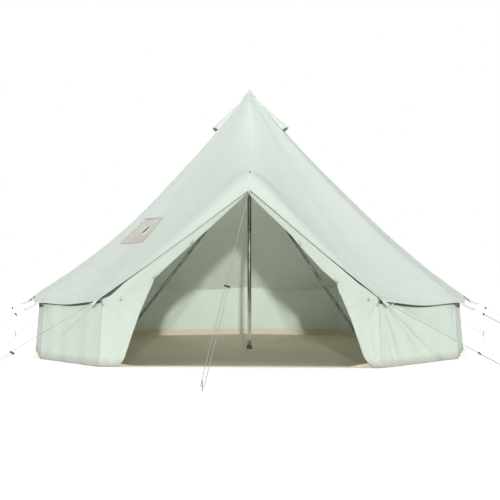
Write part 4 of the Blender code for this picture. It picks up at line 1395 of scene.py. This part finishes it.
def buildWallToggles():
    bars, cords = [], []
    for index in range(1, panels):
        turn, out = sideways(seamAngles[index]), heading(seamAngles[index])
        side = -1 if index == 1 else 1
        hem = seamLine(index, 1.0)
        spot = wallCorner(index, (hem.z - toggles["drop"]) / wallCorner(index, 1.0).z)
        spot += out * toggles["proud"] + turn * toggles["inset"] * side
        above = spot + up * 0.065 + out * 0.030 - turn * toggles["inset"] * side * 0.5
        bars.append(togglePart(spot, (turn + up * 0.25).normalized()))
        cords += cordLoop(spot, above, turn)
    makePiece("wallToggles", "toggle", bars)
    makePiece("wallToggleLoops", "guy_rope", cords)


def leafSpot(side, share, inward, plan, widths, proud):
    z = share * plan[0].z
    width = leafPoint(side, 0.0, z, plan, widths)[1]
    return leafPoint(side, max(0.0, 1 - inward / width), z, plan, widths)[0] + plan[3] * proud


def buildLeafToggles(name, side, widths, edgeShares, cornerInset):
    plan = leafPlan(side)
    top, corner, foot, normal = plan
    bars, cords = [], []
    along = Vector((1.0, 0.0, 0.0))
    proud = toggles["leafProud"]
    for share in edgeShares:
        spot = leafSpot(side, share, toggles["leafInset"], plan, widths, proud)
        bars.append(togglePart(spot, (along + up * 0.5 * side).normalized()))
        cords += cordLoop(spot, leafSpot(side, share + 0.022, 0.030, plan, widths, 0.003), along, 0.007)
    level = corner.z * leafShade["down"]
    width = leafPoint(side, 0.0, level, plan, widths)[1]
    spot = leafSpot(side, level / top.z, width - cornerInset, plan, widths, proud)
    bars.append(togglePart(spot, (along + up * 0.4).normalized()))
    cords += cordLoop(spot, spot + up * 0.035 - normal * 0.004, along, 0.006)
    for suffix, parts, finish in (("Toggles", bars, "toggle"), ("Loops", cords, "guy_rope")):
        blendLeaf(makePiece(name + suffix, finish, parts, None))


buildWallToggles()
buildLeafToggles("doorLeft", -1, leaf["left"], (0.478, 0.665), 0.19)
buildLeafToggles("doorRight", 1, leaf["right"], (0.455, 0.655), 0.10)
print("toggles tied")

# Apex cap and vent hoods

cap = {
    "drop": 0.095, "thick": 0.003, "lift": 0.0042, "columns": 72, "rows": 12, "pleat": 0.0016,
    "hem": 0.0012,
}
hood = {
    "top": 0.20, "mouth": 0.50, "topWidth": 0.034, "mouthWidth": 0.18, "topRise": 0.014, "rightRise": 0.070,
    "leftRise": 0.062, "steps": 22, "arc": 24, "thick": 0.0022, "lift": 0.0012, "bead": 0.0032,
    "netInset": 0.020, "netLift": 0.002, "netThick": 0.0008,
}


def buildCap():
    rows, columns = cap["rows"], cap["columns"]
    points, flat = [Vector((0.0, shift, tent["apex"] + cap["lift"]))], [(0.0, cap["drop"])]
    for row in range(1, rows + 1):
        share = cap["drop"] / roofDrop * row / rows
        for column in range(columns):
            place = column / columns * 360
            panel = max(k for k in range(panels) if seamAngles[k] <= place)
            across = (place - seamAngles[panel]) / (seamAngles[panel + 1] - seamAngles[panel])
            point, out = roofFrame(panel, across, share)
            pleat = cap["pleat"] * math.sin(math.radians(place) * 11) * row / rows
            hemmed = cap["hem"] if row > rows - 3 else 0.0
            points.append(point + out * (cap["lift"] + pleat + hemmed))
            flat.append((math.radians(place) * 0.06, cap["drop"] * (1 - row / rows) * 1.3))
    faces = fanFaces(columns) + ringFaces(rows, columns, 1, flip=True)
    piece = makePiece("apexCap", "trim_canvas", [(points, faces, flat)], thick=cap["thick"])
    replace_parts(piece, "apex_cap")


def hoodFrame(panel):
    start = flatRoof(panel, 0.5, hood["top"] / roofDrop)
    end = flatRoof(panel, 0.5, hood["mouth"] / roofDrop)
    down = (end - start).normalized()
    along = sideways((seamAngles[panel] + seamAngles[panel + 1]) / 2)
    return start, end, down, along, upward(along.cross(down).normalized())


def buildHood(name, netName, node, panel, mouthRise):
    start, end, down, along, out = hoodFrame(panel)
    steps, arc, mouthHalf = hood["steps"], hood["arc"], along * hood["mouthWidth"] / 2
    points, flat = [], []
    for row in range(steps + 1):
        part = row / steps
        centre = start.lerp(end, part) + out * hood["lift"]
        half = (hood["topWidth"] + (hood["mouthWidth"] - hood["topWidth"]) * part) / 2
        rise = hood["topRise"] + (mouthRise - hood["topRise"]) * part ** 1.15
        for k in range(arc + 1):
            turn = math.pi * k / arc
            slack = 1 - 0.05 * math.sin(math.pi * part) * math.sin(turn) - 0.02 * math.sin(turn * 5) * part
            aside = along * half * math.cos(turn) * slack
            points.append(centre + aside + out * rise * math.sin(turn) * slack)
            flat.append((abs(turn - math.pi / 2) * half, (1 - part) * 0.42))
    facing = (points[arc + 1] - points[0]).cross(points[1] - points[0]).dot(along) > 0
    faces = gridFaces(steps + 1, arc + 1, flip=not facing)
    piece = makePiece(name, "roof_canvas", [(points, faces, flat)], thick=hood["thick"])
    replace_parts(piece, node)
    rim = [end + out * hood["lift"] + mouthHalf * math.cos(math.pi * k / 32)
           + out * mouthRise * math.sin(math.pi * k / 32) for k in range(33)]
    makePiece(name + "Rim", "trim_canvas", [tubePart(rim, hood["bead"])])
    net, netFlat = [], []
    back = end - down * hood["netInset"] + out * hood["netLift"]
    for k in range(25):
        turn = math.pi * k / 24
        wide = mouthHalf * 0.95 * math.cos(turn)
        for level in (0.0, 0.5, 1.0):
            net.append(back + wide + out * mouthRise * 0.93 * math.sin(turn) * level)
            netFlat.append((wide.dot(along), level * 0.1 * math.sin(turn)))
    makePiece(netName, "net", [(net, gridFaces(25, 3), netFlat)], thick=hood["netThick"])


buildCap()
buildHood("ventHoodRight", "ventNetRight", "vent_hood_right", sideCorner - 1, hood["rightRise"])
buildHood("ventHoodLeft", "ventNetLeft", "vent_hood_left", leftSideCorner, hood["leftRise"])
print("cap and vents set")

# Stove jack: heat-proof panel, its border and the cover rolled up above it


def jackSpans():
    panel, place, half = jack["panel"], jack["place"], jack["size"] / 2
    halfAcross = half / panelWidth(panel, jackLevel)
    run = (flatRoof(panel, place, jackLevel + 0.01) - flatRoof(panel, place, jackLevel)).length
    halfDown = half * 0.01 / run
    return place - halfAcross, place + halfAcross, jackLevel - halfDown, jackLevel + halfDown


jackLeft, jackRight, jackHigh, jackLow = jackSpans()


def onJack(across, share, lift):
    out = roofFrame(jack["panel"], across, share)[1]
    return roofPoint(jack["panel"], across, share) + out * lift


# Across and share on the jack's roof panel of a point given from above
def jackPlace(target):
    across, share = jack["fluePlace"], jackLevel
    for _ in range(12):
        here = flatRoof(jack["panel"], across, share)
        byAcross = (flatRoof(jack["panel"], across + 1e-3, share) - here) / 1e-3
        byShare = (flatRoof(jack["panel"], across, share + 1e-3) - here) / 1e-3
        error = target - here
        scale = byAcross.x * byShare.y - byAcross.y * byShare.x
        across += (error.x * byShare.y - error.y * byShare.x) / scale
        share += (byAcross.x * error.y - byAcross.y * error.x) / scale
    return across, share


# Rings from the hole, a circle seen from above, out to the panel's own outline
def buildJack():
    sides, rings = 72, 14
    centre = jack["fluePlace"]
    points, flat = [], []
    for ring in range(rings + 1):
        part = (ring / rings) ** 1.3
        for k in range(sides):
            turn = 2 * math.pi * k / sides
            target = flue + Vector((math.cos(turn), math.sin(turn), 0.0)) * jack["flueRadius"]
            across, share = jackPlace(target)
            dx, dy = across - centre, share - jackLevel
            toSide = ((jackRight if dx > 0 else jackLeft) - centre) / dx if abs(dx) > 1e-6 else 1e6
            toEnd = ((jackLow if dy > 0 else jackHigh) - jackLevel) / dy if abs(dy) > 1e-6 else 1e6
            scale = 1 + (min(toSide, toEnd) - 1) * part
            spotAcross, spotShare = centre + dx * scale, jackLevel + dy * scale
            pucker = 0.003 * math.exp(-part * 4) * math.sin(turn * 9) * smoothStep(0.0, 0.25, part)
            collar = 0.006 * math.exp(-part * 9)
            border = 0.0016 if part > 0.86 else 0.0
            points.append(onJack(spotAcross, spotShare, jack["lift"] + pucker + collar + border))
            edge = min(spotAcross - jackLeft, jackRight - spotAcross) * panelWidth(jack["panel"], jackLevel)
            end = min(spotShare - jackHigh, jackLow - spotShare) * 3.4
            flat.append((turn * 0.1, max(0.0, min(edge, end))))
    cloth = (points, ringFaces(rings + 1, sides), flat)
    piece = makePiece("stoveJackPanel", "heat_panel", [cloth], thick=jack["thick"], facing="up")
    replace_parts(piece, "stove_jack_panel")
    rim = [spot + up * 0.002 for spot in points[:sides] + points[:1]]
    collar = tubePart(rim, jack["collar"], 10, caps=False)
    makePiece("stoveJackCollar", "trim_canvas", [collar], sharp=40)


jackRoll = {
    "turns": 2.6, "layers": 130, "steps": 26, "inner": 0.30, "outer": 0.66, "thick": 0.0012,
    "ties": (0.22, 0.78), "tieReach": 0.03, "pinch": 0.10,
}


# Rolled cover above the panel, held by two tapes
def buildJackCover():
    left = flatRoof(jack["panel"], jackLeft, jackHigh)
    right = flatRoof(jack["panel"], jackRight, jackHigh)
    down = (flatRoof(jack["panel"], jackLeft, jackLow) - left).normalized()
    out = upward((right - left).cross(down).normalized())
    radius = jack["rollRadius"]
    offset = out * (radius + 0.0008) - down * (radius + jack["thick"])
    start, end = left + offset, right + offset
    line = (end - start).normalized()
    layers, steps = jackRoll["layers"], jackRoll["steps"]
    points, flat = [], []
    for layer in range(layers + 1):
        turn = 2 * math.pi * jackRoll["turns"] * layer / layers
        size = radius * (jackRoll["inner"] + jackRoll["outer"] * layer / layers)
        for k in range(steps + 1):
            part = k / steps
            pinch = 1.0
            for tie in jackRoll["ties"]:
                pinch -= jackRoll["pinch"] * bell(part, tie, jackRoll["tieReach"])
            bumpy = 1 + 0.03 * noise.noise(Vector((part * 9, turn * 0.8, 4.0)))
            points.append(start.lerp(end, part) + turned(out, down, turn) * size * pinch * bumpy)
            flat.append((radius * turn, part * jack["size"]))
    roll = (points, gridFaces(layers + 1, steps + 1), flat)
    piece = makePiece("stoveJackCoverRoll", "roof_canvas", [roll], thick=jackRoll["thick"])
    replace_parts(piece, "stove_jack_cover_roll")
    tapes = []
    for part in jackRoll["ties"]:
        centre = start.lerp(end, part)
        path = [centre + turned(out, down, 2 * math.pi * k / 28) * radius * 0.97 for k in range(29)]
        tapes.append(ribbonPart(path, line, 0.016, 0.0012))
        tail = [centre + down * radius + out * 0.001, centre + down * (radius + 0.03) + out * -0.004,
                centre + down * (radius + 0.07) + line * 0.006 - out * 0.007]
        tapes.append(ribbonPart(tail, line, 0.014, 0.001))
    makePiece("jackCoverTapes", "trim_canvas", tapes, sharp=40)


buildJack()
buildJackCover()
print("stove jack fitted")

# Centre pole and A-frame

pole = {
    "radius": 0.0225, "wall": 0.0016, "joint": 1.39, "swage": 0.10, "clear": 0.0004, "floor": 0.0043,
    "footRadius": 0.034, "footHeight": 0.045, "footBase": 0.008, "flange": 0.045, "flangeHeight": 0.006,
    "spike": 0.007, "bead": 0.0009, "plug": 0.05,
}
archFrame = {
    "radius": 0.0125, "wall": 0.0014, "rodGap": 0.0005, "rodReach": 0.14, "bare": 0.035, "drop": 0.019,
    "setback": 0.012, "footInset": 0.05,
}


def turnedPiece(name, node, profile, finish, sides=40, place=middle, turn=None):
    part = turnedPart(profile, sides, place, turn)
    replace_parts(makePiece(name, finish, [part], sharp=38, facing="out"), node)


def buildPole():
    radius, floor, gap = pole["radius"], pole["floor"], tent["gap"]
    bore = radius - pole["wall"]
    base, footTop = floor + pole["footBase"], floor + pole["footHeight"]
    foot = pole["footRadius"]
    cup = [(0.0, floor), (foot - 0.002, floor), (foot, floor + 0.002), (foot, floor + 0.009)]
    cup += [(foot * 0.90, floor + 0.012), (foot * 0.86, footTop - 0.003), (foot * 0.82, footTop)]
    cup += [(radius + gap, footTop), (radius + gap, base), (0.0, base)]
    turnedPiece("centrePoleFoot", "centre_pole_foot", cup, "dark_plastic")
    start, joint, bead = base + gap, pole["joint"], radius + pole["bead"]
    lower = [(bore, start), (radius - 0.0006, start), (radius, start + 0.001), (radius, joint - 0.035)]
    lower += [(bead, joint - 0.032), (bead, joint - 0.024), (radius, joint - 0.021)]
    lower += [(radius, joint - 0.001), (radius - 0.0006, joint), (bore, joint)]
    # Painted light: the lower tube takes the lighter copy of the pole's steel
    turnedPiece("centrePoleLower", "centre_pole_lower", lower, "sunlit_pole_steel")
    swage = bore - pole["clear"]
    joint += gap
    flange, thin = pole["flange"], pole["spike"]
    cornerReach = flange / math.cos(math.radians(panelAngle / 2))
    flangeTop = tent["apex"] - cornerReach / tent["topSlope"] - tent["lay"] - gap
    top = flangeTop - pole["flangeHeight"] - gap
    inner = swage - pole["wall"]
    low = joint - pole["swage"]
    upper = [(inner, low), (swage - 0.001, low), (swage, low + 0.002), (swage, joint - 0.0002)]
    upper += [(radius - 0.0008, joint), (radius, joint + 0.0015), (radius, top), (inner, top)]
    # Painted shade: the upper tube and the spike take the darker copy of the pole's steel
    turnedPiece("centrePoleUpper", "centre_pole_upper", upper, "pole_steel")
    plug = inner - pole["clear"]
    base, tip = top + gap, tent["apex"] - thin / tent["topSlope"]
    spike = [(0.0, base - pole["plug"]), (plug - 0.001, base - pole["plug"]), (plug, base - 0.048)]
    spike += [(plug, base), (flange - 0.001, base), (flange, base + 0.001), (flange, flangeTop - 0.0012)]
    spike += [(flange - 0.0012, flangeTop), (thin, flangeTop), (thin, tip - thin)]
    spike += [(thin * math.cos(angle), tip - thin * (1 - math.sin(angle))) for angle in (0.3, 0.7, 1.1)]
    turnedPiece("centrePoleSpike", "centre_pole_spike", spike + [(0.0, tip)], "pole_steel")


def buildLeg(name, node, start, end, outer, inner):
    turn = (end - start).to_track_quat("Z", "Y").to_matrix()
    length = (end - start).length
    profile = [(inner, 0.0), (outer - 0.0006, 0.0), (outer, 0.001)]
    profile += [(outer, length - 0.001), (outer - 0.0006, length), (inner, length)]
    # Painted shade: the legs take the near-black copy of the steel
    turnedPiece(name, node, profile, "frame_steel", 32, start, turn)


def buildArchFrame():
    reach = archFrame["setback"] - tent["crownReach"]
    crown = middle + Vector((0.0, reach, tent["crownHeight"] - tent["lay"] - archFrame["drop"]))
    radius, bare, rodReach = archFrame["radius"], archFrame["bare"], archFrame["rodReach"]
    bore = radius - archFrame["wall"]
    ways = []
    for name, node, angle in (("archLegLeft", "a_frame_leg_left", 360 - tent["doorLeft"]),
                              ("archLegRight", "a_frame_leg_right", tent["doorRight"])):
        foot = middle + heading(angle) * (tent["wallFoot"] - archFrame["footInset"])
        foot.z = pole["floor"]
        way = (foot - crown).normalized()
        foot.z += radius * math.sqrt(1 - way.z ** 2)
        way = (foot - crown).normalized()
        ways.append(way)
        buildLeg(name, node, crown + way * bare, foot, radius, bore)
    left, right = ways
    first, last = crown + left * bare * 0.9, crown + right * bare * 0.9
    knee = crown + (left + right) * bare * 0.05
    bend = [bentLine(first, knee, last, k / 12) for k in range(13)]
    path = finer([crown + left * rodReach] + bend + [crown + right * rodReach], 0.02)
    rod = tubePart(path, bore - archFrame["rodGap"], 20)
    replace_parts(makePiece("archCrown", "frame_steel", [rod], sharp=50), "a_frame_crown")


buildPole()
buildArchFrame()
print("poles raised")

# Groundsheet with a raised edge

ground = {
    "thick": 0.004, "inset": 0.03, "lip": 0.07, "doorLip": 0.012, "lipStart": 0.30, "spacing": 0.09,
    "rings": 26, "ripple": 0.0035,
}


def buildGroundsheet():
    radius = tent["wallFoot"] - ground["inset"]
    corners = [middle + heading(angle) * radius for angle in cornerAngles]
    left, right = corners[-1], corners[0]
    across = (right - left).normalized()
    rim = [(corner, ground["lip"]) for corner in corners]
    for spot in (left + across * ground["lipStart"], right - across * ground["lipStart"]):
        rim.append((spot, ground["doorLip"]))
    outline = []
    for (here, low), (after, high) in zip(rim, rim[1:] + rim[:1]):
        count = max(1, round((after - here).length / ground["spacing"]))
        for k in range(count):
            part = k / count
            outline.append((here.lerp(after, part), low + (high - low) * part))
    points, flat = [Vector((middle.x, middle.y, ground["thick"]))], [(0.0, 0.0)]
    for ring in range(1, ground["rings"] + 1):
        part = ring / ground["rings"]
        for spot, _ in outline:
            point = middle + (spot - middle) * part * (1 - 0.006 / radius)
            calm = min(1.0, (1 - part) * 6)
            point.z = ground["thick"] + ground["ripple"] * (0.5 + 0.5 * noise.noise(point * 2.4)) ** 2 * calm
            points.append(point)
            flat.append((point.x, point.y))
    for inset, drop in ((0.0045, 0.0), (0.0, 0.0), (-0.0012, 0.002)):
        for spot, lip in outline:
            point = middle + (spot - middle) * (1 - inset / radius)
            wave = 0.002 * noise.noise(spot * 4.0)
            point.z = lip - drop + wave * (lip > 0.03)
            points.append(point)
            flat.append((point.x + point.z, point.y))
    for spot, _ in outline:
        points.append(Vector((spot.x, spot.y, 0.0)))
        flat.append((spot.x, spot.y))
    size = len(outline)
    rings = ground["rings"] + 4
    faces = fanFaces(size) + ringFaces(rings, size, 1, flip=True)
    last = 1 + (rings - 1) * size
    faces.append([last + k for k in range(size)][::-1])
    piece = makePiece("groundsheetFloor", "groundsheet", [(points, faces, flat)], sharp=60)
    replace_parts(piece, "groundsheet")


buildGroundsheet()
print("groundsheet laid")
